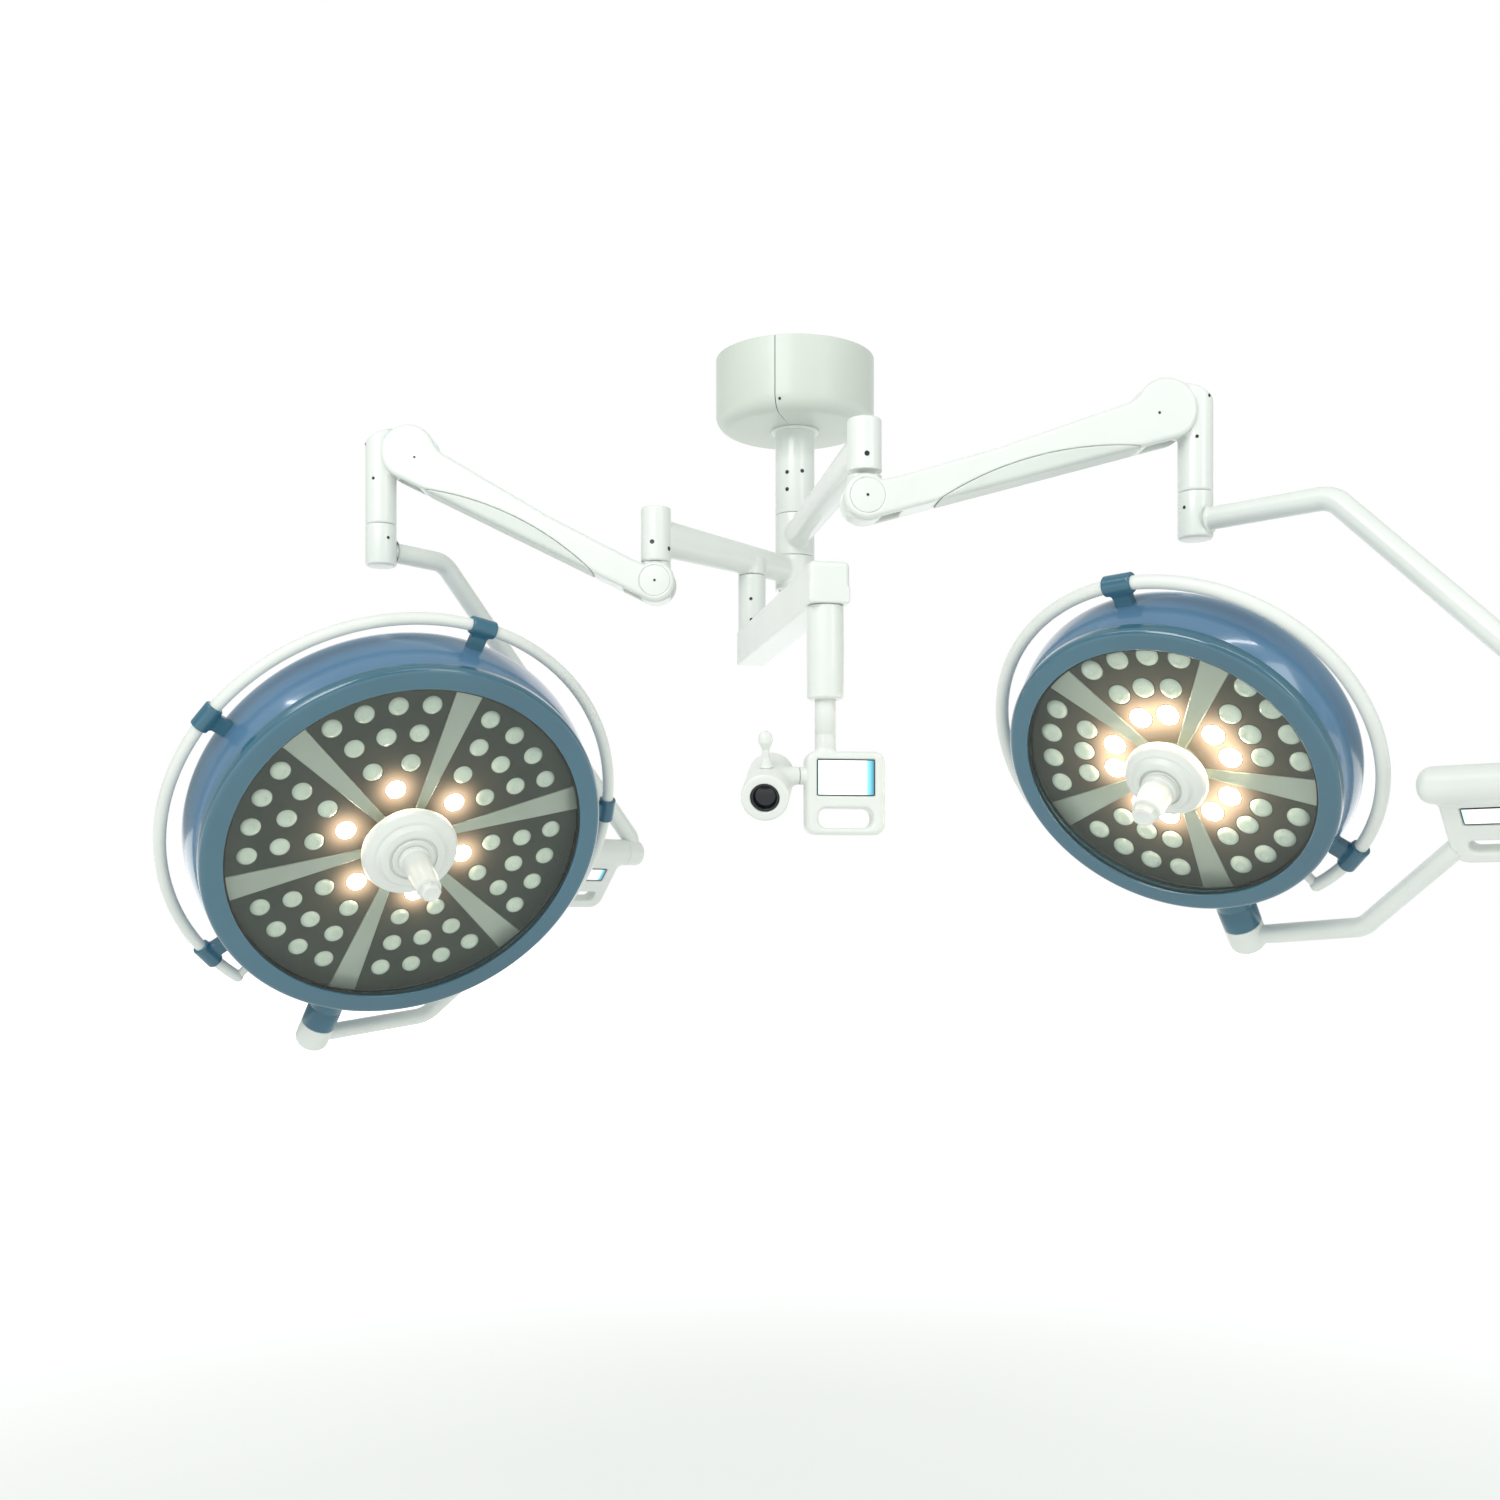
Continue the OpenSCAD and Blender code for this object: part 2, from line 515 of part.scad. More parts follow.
// Silver ribs between the sectors, wider outwards
module rib_wedges(s, grow = 0) for (i = [0:sectors[s] - 1]) rotate([0, 0, i * 360 / sectors[s]])
    polygon([[0, -3 - grow], [window_r[s] + 20, -25 - grow], [window_r[s] + 20, 25 + grow],
        [0, 3 + grow]]);
module led_carrier(s) color("silver") at_head(s) {
    translate([0, 0, 22]) difference() {
        cylinder(r = window_r[s] + 12, h = 4, $fn = 96);
        translate([0, 0, -1]) cylinder(r = 24.1, h = 6);
    }
    translate([0, 0, 26]) linear_extrude(4.5) intersection() {
        rib_wedges(s);
        difference() {
            circle(r = window_r[s] + 8, $fn = 96);
            circle(r = hub_r[s] * 0.7);
        }
    }
    for (r = [90:25:head_r[s] - 60]) translate([0, 0, 2]) difference() {
        cylinder(r = r + 1.5, h = 20);
        translate([0, 0, -1]) cylinder(r = r - 1.5, h = 22);
    }
}
module led_carrier_right() led_carrier(RIGHT);
module led_carrier_left() led_carrier(LEFT);
// Rows of lenses from the rim inwards: [lenses in the row, radius as a part of the ring, spacing]
led_rows = [[[4, 1, 14], [3, 0.725, 17], [2, 0.48, 27]],
    [[4, 1, 12.2], [3, 0.8, 14.9], [2, 0.59, 24], [1, 0.41, 0]]];
module each_lens(s) for (i = [0:sectors[s] - 1], row = led_rows[s], k = [0:row[0] - 1])
    rotate([0, 0, (i + 0.5) * 360 / sectors[s] + (k - (row[0] - 1) / 2) * row[2]])
    translate([led_ring_r[s] * row[1], 0, 0]) children();
module sector_plates(s) color("darkslategray") at_head(s) translate([0, 0, 26]) linear_extrude(plate_z - 26)
    difference() {
        circle(r = window_r[s] + 8, $fn = 96);
        circle(r = hub_r[s] * 0.7);
        rib_wedges(s, 0.4);
        each_lens(s) circle(d = lens_d, $fn = 32);
    }
module sector_plates_right() sector_plates(RIGHT);
module sector_plates_left() sector_plates(LEFT);
module lenses(s) color("whitesmoke") at_head(s) each_lens(s) translate([0, 0, 26.05]) {
    cylinder(d = lens_d - 0.4, h = 3.5, $fn = 32);
    translate([0, 0, 3.5]) cylinder(d1 = lens_d - 0.4, d2 = lens_d * 0.6, h = 5, $fn = 32);
}
module lenses_right() lenses(RIGHT);
module lenses_left() lenses(LEFT);
module centre_hub(s) color(white) at_head(s) {
    r = hub_r[s];
    rotate_extrude() polygon(concat([[18, 26], [31.8, 26], [31.8, 54.4], [r, 54.4]],
        arc([r - 12, 62], 12, 0, 70, 5), arc([r * 0.62, 78], 5, 0, 90, 4),
        [[r * 0.5, 83], [r * 0.5, 79], [r * 0.44, 79], [r * 0.44, 84], [18, 84]]));
}
module centre_hub_right() centre_hub(RIGHT);
module centre_hub_left() centre_hub(LEFT);
module handle(s) color("white") at_head(s) {
    tip = front_z + handle_reach[s];
    rotate_extrude() polygon([[0, 30], [17.95, 30], [17.95, 84.6], [27, 84.6], [27, 92],
        [21, tip - 14], [0, tip - 14]]);
    translate([0, 0, tip - 14]) cylinder(d = 36, h = 14, $fn = 8);
}
module handle_right() handle(RIGHT);
module handle_left() handle(LEFT);
// The rail's closed end turns back to the housing: the right lamp's at +Y, the left lamp's at -Y
module grip_rail(s) color(white) at_head(s) mirror([0, s == RIGHT ? 0 : 1, 0]) {
    translate([0, 0, rail_z[s]]) rotate([0, 0, rail_gap[s]])
        rotate_extrude(angle = 360 - 2 * rail_gap[s], $fn = 128)
            translate([rail_r[s], 0]) circle(d = rail_d, $fn = 32);
    rotate([0, 0, rail_gap[s]]) translate([rail_r[s], 0, rail_z[s]])
        sphere(d = rail_d + 0.6, $fn = 32);
    difference() {
        rotate([0, 0, rail_gap[s]]) translate([head_r[s] - 20, 0, rail_z[s]]) rotate([0, 90, 0])
            cylinder(d = 14, h = rail_r[s] - head_r[s] + 20, $fn = 32);
        housing_form(s);
    }
}
module grip_rail_right() grip_rail(RIGHT);
module grip_rail_left() grip_rail(LEFT);
module rail_clips(s) color(blue) at_head(s) for (a = clip_angles[s]) rotate([0, 0, a]) {
    turn = 44 / rail_r[s] * 180 / PI;
    translate([0, 0, rail_z[s]]) {
        rotate([0, 0, -turn / 2]) rotate_extrude(angle = turn, $fn = 128)
            translate([rail_r[s], 0]) difference() {
                circle(d = rail_d + 10, $fn = 32);
                circle(d = rail_d, $fn = 32);
            }
        difference() {
            translate([head_r[s] - 22, -14, -8])
                cube([rail_r[s] - head_r[s] + 10.5, 28, 16]);
            translate([0, 0, -rail_z[s]]) housing_form(s);
        }
    }
}
module rail_clips_right() rail_clips(RIGHT);
module rail_clips_left() rail_clips(LEFT);

// ---- camera arm ----
post_top = 412.6;
module camera_boom() color(white) translate(post_axis()) rotate([0, 0, boom_yaw])
    difference() {
        union() {
            translate([0, 0, -boom_bottom + 8]) round_post(49, boom_bottom - 8 - post_top, 4, 0.5);
            translate([0, 0, -post_top - 8]) cylinder(d = 28, h = 40);
            translate([-20, -24, -boom_bottom]) cube([boom_len, 48, boom_h]);
            translate([boom_len, 0, -boom_bottom + boom_h / 2]) rotate([90, 0, 90])
                translate([0, 0, -30]) linear_extrude(60) polygon(concat(
                    arc([20, 20], 10, 0, 90, 4), arc([-20, 20], 10, 90, 180, 4), [[-30, -30], [30, -30]]));
        }
        translate([boom_len, 0, -boom_bottom - 1]) cylinder(d = 30 + fit, h = 43);
    }
module at_camera(z = 0) translate(camera_column() - [0, 0, z]) children();
stem_end = 780;
module drop_tube() color(white) at_camera() difference() {
    union() {
        translate([0, 0, -706]) round_post(drop_d, 706 - boom_bottom - gap, 0.5, 14);
        translate([0, 0, -boom_bottom - 2]) cylinder(d = 30, h = 42);
    }
    translate([0, 0, -707]) cylinder(d = 30, h = 60);
}
frame_yaw = 8;
frame_shift = 27.5;
module at_frame(z = 0) at_camera() rotate([0, 0, frame_yaw]) translate([frame_shift, 0, -z]) children();
module control_frame() color(white) {
    at_camera() translate([0, 0, -stem_end - 2]) cylinder(d = 30, h = stem_end + 2 - 650);
    difference() {
        at_frame(stem_end + frame_h / 2) rounded_plate(frame_w, frame_h, 34, 16);
        at_frame(876) rounded_plate(79, 28, 60, 12);
        at_frame(818) translate([0, -34 / 2 - 30 + 3, 0]) cube([86, 60, 54], center = true);
    }
    // bearing boss of the camera's tilt joint
    at_frame(815) translate([-frame_w / 2 - 8, 0, 0]) rotate([0, 90, 0]) cylinder(d = 26, h = 10);
    at_frame(815) translate([-frame_w / 2 - 20, 0, 0]) rotate([0, 90, 0]) cylinder(d = 12, h = 13);
}
module frame_display() color("lightcyan") at_frame(818) translate([0, -34 / 2 + 1.5, 0])
    cube([85, 2.8, 53], center = true);
camera_aim = [-21, 14];  // pitch below level, and turn to the left of the frame's front
module at_lens() at_frame(815) translate([-frame_w / 2 - 8.6, 0, 0])
    rotate([0, 0, -camera_aim[1]]) rotate([-camera_aim[0], 0, 0]) rotate([90, 0, 0]) children();
module camera_body() color(white) difference() {
    union() {
        at_frame(815) translate([-frame_w / 2 - 8.6 - 40, 0, 0]) rotate([0, 90, 0])
            cylinder(d = 26, h = 40);
        at_lens() translate([-44, -14, -camera_len / 2]) round_post(camera_d, camera_len, 3, 14);
    }
    at_frame(815) translate([-frame_w / 2 - 22, 0, 0]) rotate([0, 90, 0]) cylinder(d = 12 + fit, h = 30);
    at_lens() translate([-44, -14, camera_len / 2 - 9]) cylinder(d = 42, h = 20);
}
module camera_lens() color([0.05, 0.06, 0.08]) at_lens() translate([-44, -14, camera_len / 2 - 8.9])
    cylinder(d = 41.6, h = 6);
module camera_grip() color(white) at_lens() translate([-44, -14 + camera_d / 2 - 1, 20])
    rotate([-90, 0, 0]) rotate_extrude() polygon(concat([[0, 1.2], [11, 1.2], [5, 18], [5, 30]],
        arc([0, 42], 11, -60, 90, 8)));

ceiling_flange();
column_tube();
hub_spindle();
hub_bushings();
spindle_cap();
canopy_left();
canopy_right();
canopy_collar();
column_screws();
extension_arm_right();
rear_knuckle_right();
spring_beam_right();
beam_cover_right();
pivot_pins_right();
gas_spring_right();
link_rod_right();
spigot_right();
outer_yoke_right();
control_box_right();
control_display_right();
inner_yoke_right();
housing_right();
bezel_right();
glass_right();
led_carrier_right();
sector_plates_right();
lenses_right();
centre_hub_right();
handle_right();
grip_rail_right();
rail_clips_right();
extension_arm_left();
rear_knuckle_left();
spring_beam_left();
beam_cover_left();
pivot_pins_left();
gas_spring_left();
link_rod_left();
spigot_left();
outer_yoke_left();
control_box_left();
control_display_left();
inner_yoke_left();
housing_left();
bezel_left();
glass_left();
led_carrier_left();
sector_plates_left();
lenses_left();
centre_hub_left();
handle_left();
grip_rail_left();
rail_clips_left();
camera_boom();
drop_tube();
control_frame();
frame_display();
camera_body();
camera_lens();
camera_grip();
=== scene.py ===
import bpy, json, math
import numpy as np
from mathutils import Matrix, Vector


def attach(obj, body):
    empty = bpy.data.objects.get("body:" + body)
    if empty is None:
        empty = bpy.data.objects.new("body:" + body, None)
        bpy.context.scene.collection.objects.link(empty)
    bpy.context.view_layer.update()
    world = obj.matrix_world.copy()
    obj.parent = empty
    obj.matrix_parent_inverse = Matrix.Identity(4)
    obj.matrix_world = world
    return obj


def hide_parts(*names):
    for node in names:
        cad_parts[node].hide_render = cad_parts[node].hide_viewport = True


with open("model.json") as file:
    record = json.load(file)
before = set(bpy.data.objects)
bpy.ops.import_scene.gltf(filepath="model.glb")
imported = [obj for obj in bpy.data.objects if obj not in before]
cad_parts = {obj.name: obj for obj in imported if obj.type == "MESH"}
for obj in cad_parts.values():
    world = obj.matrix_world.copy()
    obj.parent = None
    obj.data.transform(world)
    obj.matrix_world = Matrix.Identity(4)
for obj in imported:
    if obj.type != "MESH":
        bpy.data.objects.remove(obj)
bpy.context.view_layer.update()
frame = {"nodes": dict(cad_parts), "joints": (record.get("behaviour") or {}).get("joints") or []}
MM = 0.001
SIDES = ("right", "left")
collection = bpy.context.scene.collection


# ---------------------------------------------------------------- frames
joints = {j["name"]: (Vector(j["pos_m"]), Vector(j["axis"]).normalized()) for j in frame["joints"]}
UP = Vector((0, 0, 1))


def axes(origin, x, y, z):
    """Matrix from millimetres in a local frame to metres in the row frame."""
    m = Matrix((x, y, z)).transposed().to_4x4()
    m.translation = origin
    return m @ Matrix.Scale(MM, 4)


def flat(v, z=0.0):
    return Vector((v.x, v.y, z))


def extension_frame(side):
    x = flat(joints["arm_swivel_" + side][0]).normalized()
    return axes(Vector((0, 0, 0)), x, UP.cross(x), UP)


def rear_frame(side):
    origin, axis = joints["arm_lift_" + side]
    return axes(origin, (-axis).cross(UP), -axis, UP)


def beam_frame(side):
    origin, axis = joints["arm_lift_" + side]
    x = (joints["front_level_" + side][0] - origin).normalized()
    return axes(origin, x, -axis, x.cross(-axis))


def front_frame(side):
    origin, axis = joints["front_level_" + side]
    return axes(origin, (-axis).cross(UP), -axis, UP)


def yoke_frame(side, tilted=False):
    point, x = joints["yoke_tilt_" + side]
    origin = flat(joints["yoke_swivel_" + side][0], point.z)
    z = -joints["head_tilt_" + side][1] if tilted else UP
    return axes(origin, x, z.cross(x), z)


def head_frame(side):
    x = joints["head_tilt_" + side][1]
    point, z = joints["focus_turn_" + side]
    return axes(point - z * 0.1, x, z.cross(x), z)


def turn(axis, degrees):
    return Matrix.Rotation(math.radians(degrees), 4, axis)


def shift(x=0.0, y=0.0, z=0.0):
    return Matrix.Translation((x, y, z))


def facing(direction):
    """Rotation that takes +Z to direction, which is never straight up or down."""
    z = Vector(direction).normalized()
    x = UP.cross(z).normalized()
    return Matrix((x, z.cross(x), z)).transposed().to_4x4()


# ---------------------------------------------------------------- materials
def add_node(owner, kind, **values):
    """New shader node with inputs set by name; an underscore stands for a space."""
    node = owner.node_tree.nodes.new("ShaderNode" + kind)
    set_inputs(node, **values)
    return node


def set_inputs(node, **values):
    for name, value in values.items():
        node.inputs[name.replace("_", " ")].default_value = value


def material(name, color, rough=0.35, coat=0.0, metal=0.0, vary=0.04, scale=9.0, bump=0.02,
             grain=240.0, emission=0.0, tint=None):
    """Painted, moulded or metal surface with soft colour variation and a fine surface grain."""
    mat = bpy.data.materials.new(name)
    mat.use_nodes = True
    nodes, links = mat.node_tree.nodes, mat.node_tree.links
    shader = nodes["Principled BSDF"]
    set_inputs(shader, Metallic=metal, Coat_Weight=coat, Coat_Roughness=0.08)
    place = add_node(mat, "TexCoord")
    cloud = add_node(mat, "TexNoise", Scale=scale, Detail=4)
    links.new(place.outputs["Object"], cloud.inputs["Vector"])
    ramp = add_node(mat, "ValToRGB")
    low = [c * (1 - vary) for c in color]
    high = [min(1.0, c * (1 + vary)) for c in tint or color]
    ramp.color_ramp.elements[0].position = 0.35
    ramp.color_ramp.elements[1].position = 0.65
    ramp.color_ramp.elements[0].color = (*low, 1)
    ramp.color_ramp.elements[1].color = (*high, 1)
    links.new(cloud.outputs["Fac"], ramp.inputs["Fac"])
    links.new(ramp.outputs["Color"], shader.inputs["Base Color"])
    fine = add_node(mat, "TexNoise", Scale=grain, Detail=2)
    links.new(place.outputs["Object"], fine.inputs["Vector"])
    span = add_node(mat, "MapRange", To_Min=rough * 0.85, To_Max=min(1.0, rough * 1.15))
    links.new(fine.outputs["Fac"], span.inputs["Value"])
    links.new(span.outputs["Result"], shader.inputs["Roughness"])
    relief = add_node(mat, "Bump", Strength=bump, Distance=0.001)
    links.new(fine.outputs["Fac"], relief.inputs["Height"])
    links.new(relief.outputs["Normal"], shader.inputs["Normal"])
    if emission:
        set_inputs(shader, Emission_Color=(*color, 1), Emission_Strength=emission)
    return mat


def glass_material():
    """Clear toughened window: see-through, with the gloss of its polished face."""
    mat = bpy.data.materials.new("window_glass")
    mat.use_nodes = True
    nodes, links = mat.node_tree.nodes, mat.node_tree.links
    nodes.remove(nodes["Principled BSDF"])
    clear = add_node(mat, "BsdfTransparent", Color=(0.95, 0.98, 0.955, 1))
    gloss = add_node(mat, "BsdfGlossy", Color=(0.93, 1.0, 0.94, 1), Roughness=0.02)
    slant = add_node(mat, "LayerWeight")
    steep = add_node(mat, "Math")
    steep.operation = "POWER"
    steep.inputs[1].default_value = 4.0
    span = add_node(mat, "MapRange", To_Min=0.035, To_Max=0.8)
    mix = add_node(mat, "MixShader")
    links.new(slant.outputs["Facing"], steep.inputs[0])
    links.new(steep.outputs["Value"], span.inputs["Value"])
    links.new(span.outputs["Result"], mix.inputs["Fac"])
    links.new(clear.outputs["BSDF"], mix.inputs[1])
    links.new(gloss.outputs["BSDF"], mix.inputs[2])
    links.new(mix.outputs["Shader"], nodes["Material Output"].inputs["Surface"])
    return mat


def uv_across(mat):
    """Output that runs from 0 to 1 with the U coordinate."""
    place = add_node(mat, "UVMap")
    split = add_node(mat, "SeparateXYZ")
    mat.node_tree.links.new(place.outputs["UV"], split.inputs["Vector"])
    return split.outputs["X"]


def plate_material():
    """Dark sector plate, with a painted warm glow (emission) round the lenses that are switched on."""
    mat = material("sector_dark", (0.011, 0.013, 0.010), rough=0.42, vary=0.25, scale=12, bump=0.05,
                   tint=(0.018, 0.018, 0.014))
    links = mat.node_tree.links
    shader = mat.node_tree.nodes["Principled BSDF"]
    set_inputs(shader, Emission_Color=(1.0, 0.63, 0.40, 1), Specular_IOR_Level=0.25)
    # Painted glow: the emission strength follows the U coordinate, set from the lit lenses.
    span = add_node(mat, "MapRange", To_Max=1.5)
    links.new(uv_across(mat), span.inputs["Value"])
    links.new(span.outputs["Result"], shader.inputs["Emission Strength"])
    return mat


def display_material():
    """Membrane window: pale, with cyan shading to a dark blue strip along its right edge."""
    mat = material("display_face", (0.93, 0.97, 0.98), rough=0.2, coat=0.3, vary=0.01)
    links = mat.node_tree.links
    shader = mat.node_tree.nodes["Principled BSDF"]
    ramp = add_node(mat, "ValToRGB")
    stops = ((0.0, (0.62, 0.93, 0.95)), (0.2, (0.95, 0.98, 0.99)), (0.84, (0.95, 0.98, 0.99)),
             (0.88, (0.25, 0.72, 0.80)), (1.0, (0.02, 0.16, 0.30)))
    elements = ramp.color_ramp.elements
    elements[0].position, elements[1].position = stops[0][0], stops[-1][0]
    for position, _ in stops[1:-1]:
        elements.new(position)
    for element, (_, color) in zip(elements, stops):
        element.color = (*color, 1)
    links.new(uv_across(mat), ramp.inputs["Fac"])
    links.new(ramp.outputs["Color"], shader.inputs["Base Color"])
    links.new(ramp.outputs["Color"], shader.inputs["Emission Color"])
    set_inputs(shader, Emission_Strength=0.35)
    return mat


paint = material("white_paint", (0.70, 0.73, 0.695), rough=0.33, coat=0.35, vary=0.02, bump=0.03, grain=420)
plastic = material("white_plastic", (0.70, 0.725, 0.69), rough=0.38, coat=0.15, vary=0.02, bump=0.02)
cover = material("cover_plastic", (0.60, 0.635, 0.595), rough=0.45, vary=0.025, bump=0.03)
canopy_skin = material("canopy_skin", (0.56, 0.605, 0.55), rough=0.42, coat=0.1, vary=0.03, scale=5)
blue = material("blue_shell", (0.080, 0.175, 0.290), rough=0.2, coat=0.8, vary=0.07, scale=4, bump=0.008)
# The rim has the same blue paint as the shell, made darker and greener here: painted shade and reflection on
# the rim.
shaded_rim_blue = material("teal_rim", (0.035, 0.120, 0.175), rough=0.2, coat=0.8, vary=0.08, scale=4, bump=0.008)
clip = material("clip_plastic", (0.03, 0.12, 0.18), rough=0.3, coat=0.4, vary=0.05, bump=0.02)
silver = material("reflector_silver", (0.40, 0.41, 0.385), rough=0.36, metal=0.35, vary=0.05, scale=14)
dark = plate_material()
# Black rubber for the seals, gaskets and display borders; the same dark colour also makes the rings round the
# lenses, which paint the shadow at each lens edge.
black_seal_and_shade = material("black_seal_and_painted_shade", (0.02, 0.022, 0.02), rough=0.5, vary=0.1)
lens = material("lens_clear", (0.62, 0.645, 0.60), rough=0.22, coat=0.6, vary=0.08, scale=40, bump=0.03)
lit = material("lens_lit", (1.0, 0.80, 0.60), rough=0.2, emission=45.0, vary=0.02)
steel = material("steel", (0.46, 0.47, 0.48), rough=0.3, metal=1.0, vary=0.06, grain=160)
dark_steel = material("dark_steel", (0.05, 0.052, 0.055), rough=0.35, metal=0.8, vary=0.1)
bronze = material("bronze", (0.5, 0.33, 0.13), rough=0.35, metal=1.0, vary=0.08)
black_gloss = material("camera_black", (0.005, 0.007, 0.010), rough=0.12, vary=0.1)
glass = glass_material()
display_face = display_material()


# ---------------------------------------------------------------- mesh tools
def new_piece(name, body, mat, parts, nodes=(), sharp=35):
    """One object from (vertices in mm, faces, matrix) parts, riding on a CAD body."""
    verts, faces = [], []
    for points, polys, matrix in parts:
        base = len(verts)
        m = np.array(matrix)
        p = np.asarray(points, float) @ m[:3, :3].T + m[:3, 3]
        verts.extend(map(tuple, p))
        faces.extend([tuple(base + i for i in f) for f in polys])
    mesh = bpy.data.meshes.new(name)
    mesh.from_pydata(verts, [], faces)
    mesh.update()
    for polygon in mesh.polygons:
        polygon.use_smooth = True
    if sharp:
        mesh.set_sharp_from_angle(angle=math.radians(sharp))
    mesh.materials.append(mat)
    obj = bpy.data.objects.new(name, mesh)
    collection.objects.link(obj)
    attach(obj, body)
    if nodes:
        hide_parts(*nodes)
    return obj


def set_uv(piece, values):
    """One (u, v) per vertex."""
    layer = piece.data.uv_layers.new(name="UVMap")
    for loop in piece.data.loops:
        layer.data[loop.index].uv = values[loop.vertex_index]


def rounded(points, steps=6):
    """Polyline through (x, y, radius) corners, each rounded to its radius where it has one."""
    out = []
    n = len(points)
    for i, (x, y, r) in enumerate(points):
        p = np.array([x, y], float)
        if not r:
            out.append(tuple(p))
            continue
        a = np.array(points[(i - 1) % n][:2], float) - p
        b = np.array(points[(i + 1) % n][:2], float) - p
        la, lb = np.linalg.norm(a), np.linalg.norm(b)
        a, b = a / la, b / lb
        half = math.acos(max(-1, min(1, a @ b))) / 2
        r = min(r, 0.48 * min(la, lb) * math.tan(half))
        cut = r / math.tan(half)
        centre = p + (a + b) / np.linalg.norm(a + b) * (r / math.sin(half))
        u = p + a * cut - centre
        v = p + b * cut - centre
        sweep = math.atan2(u[0] * v[1] - u[1] * v[0], u @ v)
        for k in range(steps + 1):
            t = sweep * k / steps
            c, s = math.cos(t), math.sin(t)
            out.append((centre[0] + c * u[0] - s * u[1], centre[1] + s * u[0] + c * u[1]))
    return out


def lathe(profile, matrix, segments=96, start=0.0, sweep=360.0, closed=False):
    """Turned part: profile of (radius, z). Part turns are capped by the profile itself."""
    whole = abs(sweep - 360) < 1e-6
    count = segments if whole else segments + 1
    verts = []
    for i in range(count):
        a = math.radians(start + sweep * i / segments)
        verts += [(r * math.cos(a), r * math.sin(a), z) for r, z in profile]
    n = len(profile)
    faces = []
    for i in range(segments):
        j = (i + 1) % count
        for k in range(n if closed else n - 1):
            m = (k + 1) % n
            quad = [i * n + k, j * n + k, j * n + m, i * n + m]
            if profile[k][0] < 1e-6:
                quad = [i * n + k, j * n + m, i * n + m]
            elif profile[m][0] < 1e-6:
                quad = [i * n + k, j * n + k, i * n + m]
            faces.append(quad)
    if not whole and closed:
        faces.append(list(range(n)))
        faces.append([(count - 1) * n + k for k in reversed(range(n))])
    return verts, faces, matrix


def tube_path(points, radius_at_corner, steps=12):
    """Smooth centreline in the XZ plane with rounded corners."""
    return rounded([(x, z, 0 if i in (0, len(points) - 1) else radius_at_corner)
                    for i, (x, z) in enumerate(points)], steps)


def sweep(path, radius, matrix, sides=32):
    """Round tube with closed ends along (x, z) or (x, y, z) points."""
    line = np.array([(p[0], 0, p[1]) if len(p) == 2 else p for p in path], float)
    tangent = np.gradient(line, axis=0)
    tangent /= np.linalg.norm(tangent, axis=1)[:, None]
    ref = np.array([0, 1.0, 0]) if abs(tangent[0][1]) < 0.9 else np.array([0, 0, 1.0])
    verts, faces = [], []
    n = len(line)
    normal = np.cross(tangent[0], ref)
    for i in range(n):
        normal = normal - tangent[i] * (normal @ tangent[i])
        normal /= np.linalg.norm(normal)
        side = np.cross(tangent[i], normal)
        for k in range(sides):
            a = 2 * math.pi * k / sides
            verts.append(line[i] + radius * (math.cos(a) * normal + math.sin(a) * side))
    for i in range(n - 1):
        for k in range(sides):
            m = (k + 1) % sides
            faces.append((i * sides + k, i * sides + m, (i + 1) * sides + m, (i + 1) * sides + k))
    faces.append(tuple(reversed(range(sides))))
    faces.append(tuple((n - 1) * sides + k for k in range(sides)))
    return verts, faces, matrix


# Signed distances, in mm: p is an array of points, negative is inside
def d_box(p, centre, half, r=0.0):
    """Box, or a rectangle where p holds 2D points, with corners rounded by r."""
    q = np.abs(p - np.array(centre, float)) - (np.array(half, float) - r)
    return np.linalg.norm(np.maximum(q, 0), axis=-1) + np.minimum(q.max(-1), 0) - r


def d_rod(p, axis, centre, radius, half, r=0.0):
    """Cylinder along axis 0, 1 or 2 with edges rounded by r."""
    q = p - np.array(centre, float)
    others = [i for i in range(3) if i != axis]
    outline = np.hypot(q[..., others[0]], q[..., others[1]]) - radius
    return d_slab(outline, q[..., axis], half, r)


def d_polygon(p2, points):
    """Distance to a closed 2D outline."""
    v = np.array(points, float)
    x, y = p2[..., 0], p2[..., 1]
    best = np.full(x.shape, 1e18)
    inside = np.zeros(x.shape, bool)
    for (ax, ay), (bx, by) in zip(v, np.roll(v, -1, axis=0)):
        ex, ey = bx - ax, by - ay
        wx, wy = x - ax, y - ay
        t = np.clip((wx * ex + wy * ey) / (ex * ex + ey * ey + 1e-12), 0, 1)
        best = np.minimum(best, (wx - ex * t) ** 2 + (wy - ey * t) ** 2)
        crosses = ((ay > y) != (by > y)) & (x < (bx - ax) * (y - ay) / (by - ay + 1e-12) + ax)
        inside ^= crosses
    return np.where(inside, -1, 1) * np.sqrt(best)


def d_slab(d2, across, half, r=0.0):
    """Flat part: outline distance d2 given thickness, with edges rounded by r."""
    a, b = d2 + r, np.abs(across) - half + r
    return np.hypot(np.maximum(a, 0), np.maximum(b, 0)) + np.minimum(np.maximum(a, b), 0) - r


def join(a, b, k):
    """a and b together, with a fillet of about k."""
    h = np.maximum(k - np.abs(a - b), 0) / k
    return np.minimum(a, b) - h * h * k / 4


def cut(a, b, k):
    """a without b, with the new edge rounded by k."""
    return -join(-a, b, k)


def keep(a, b, k):
    """The part of a inside b."""
    return -join(-a, -b, k)


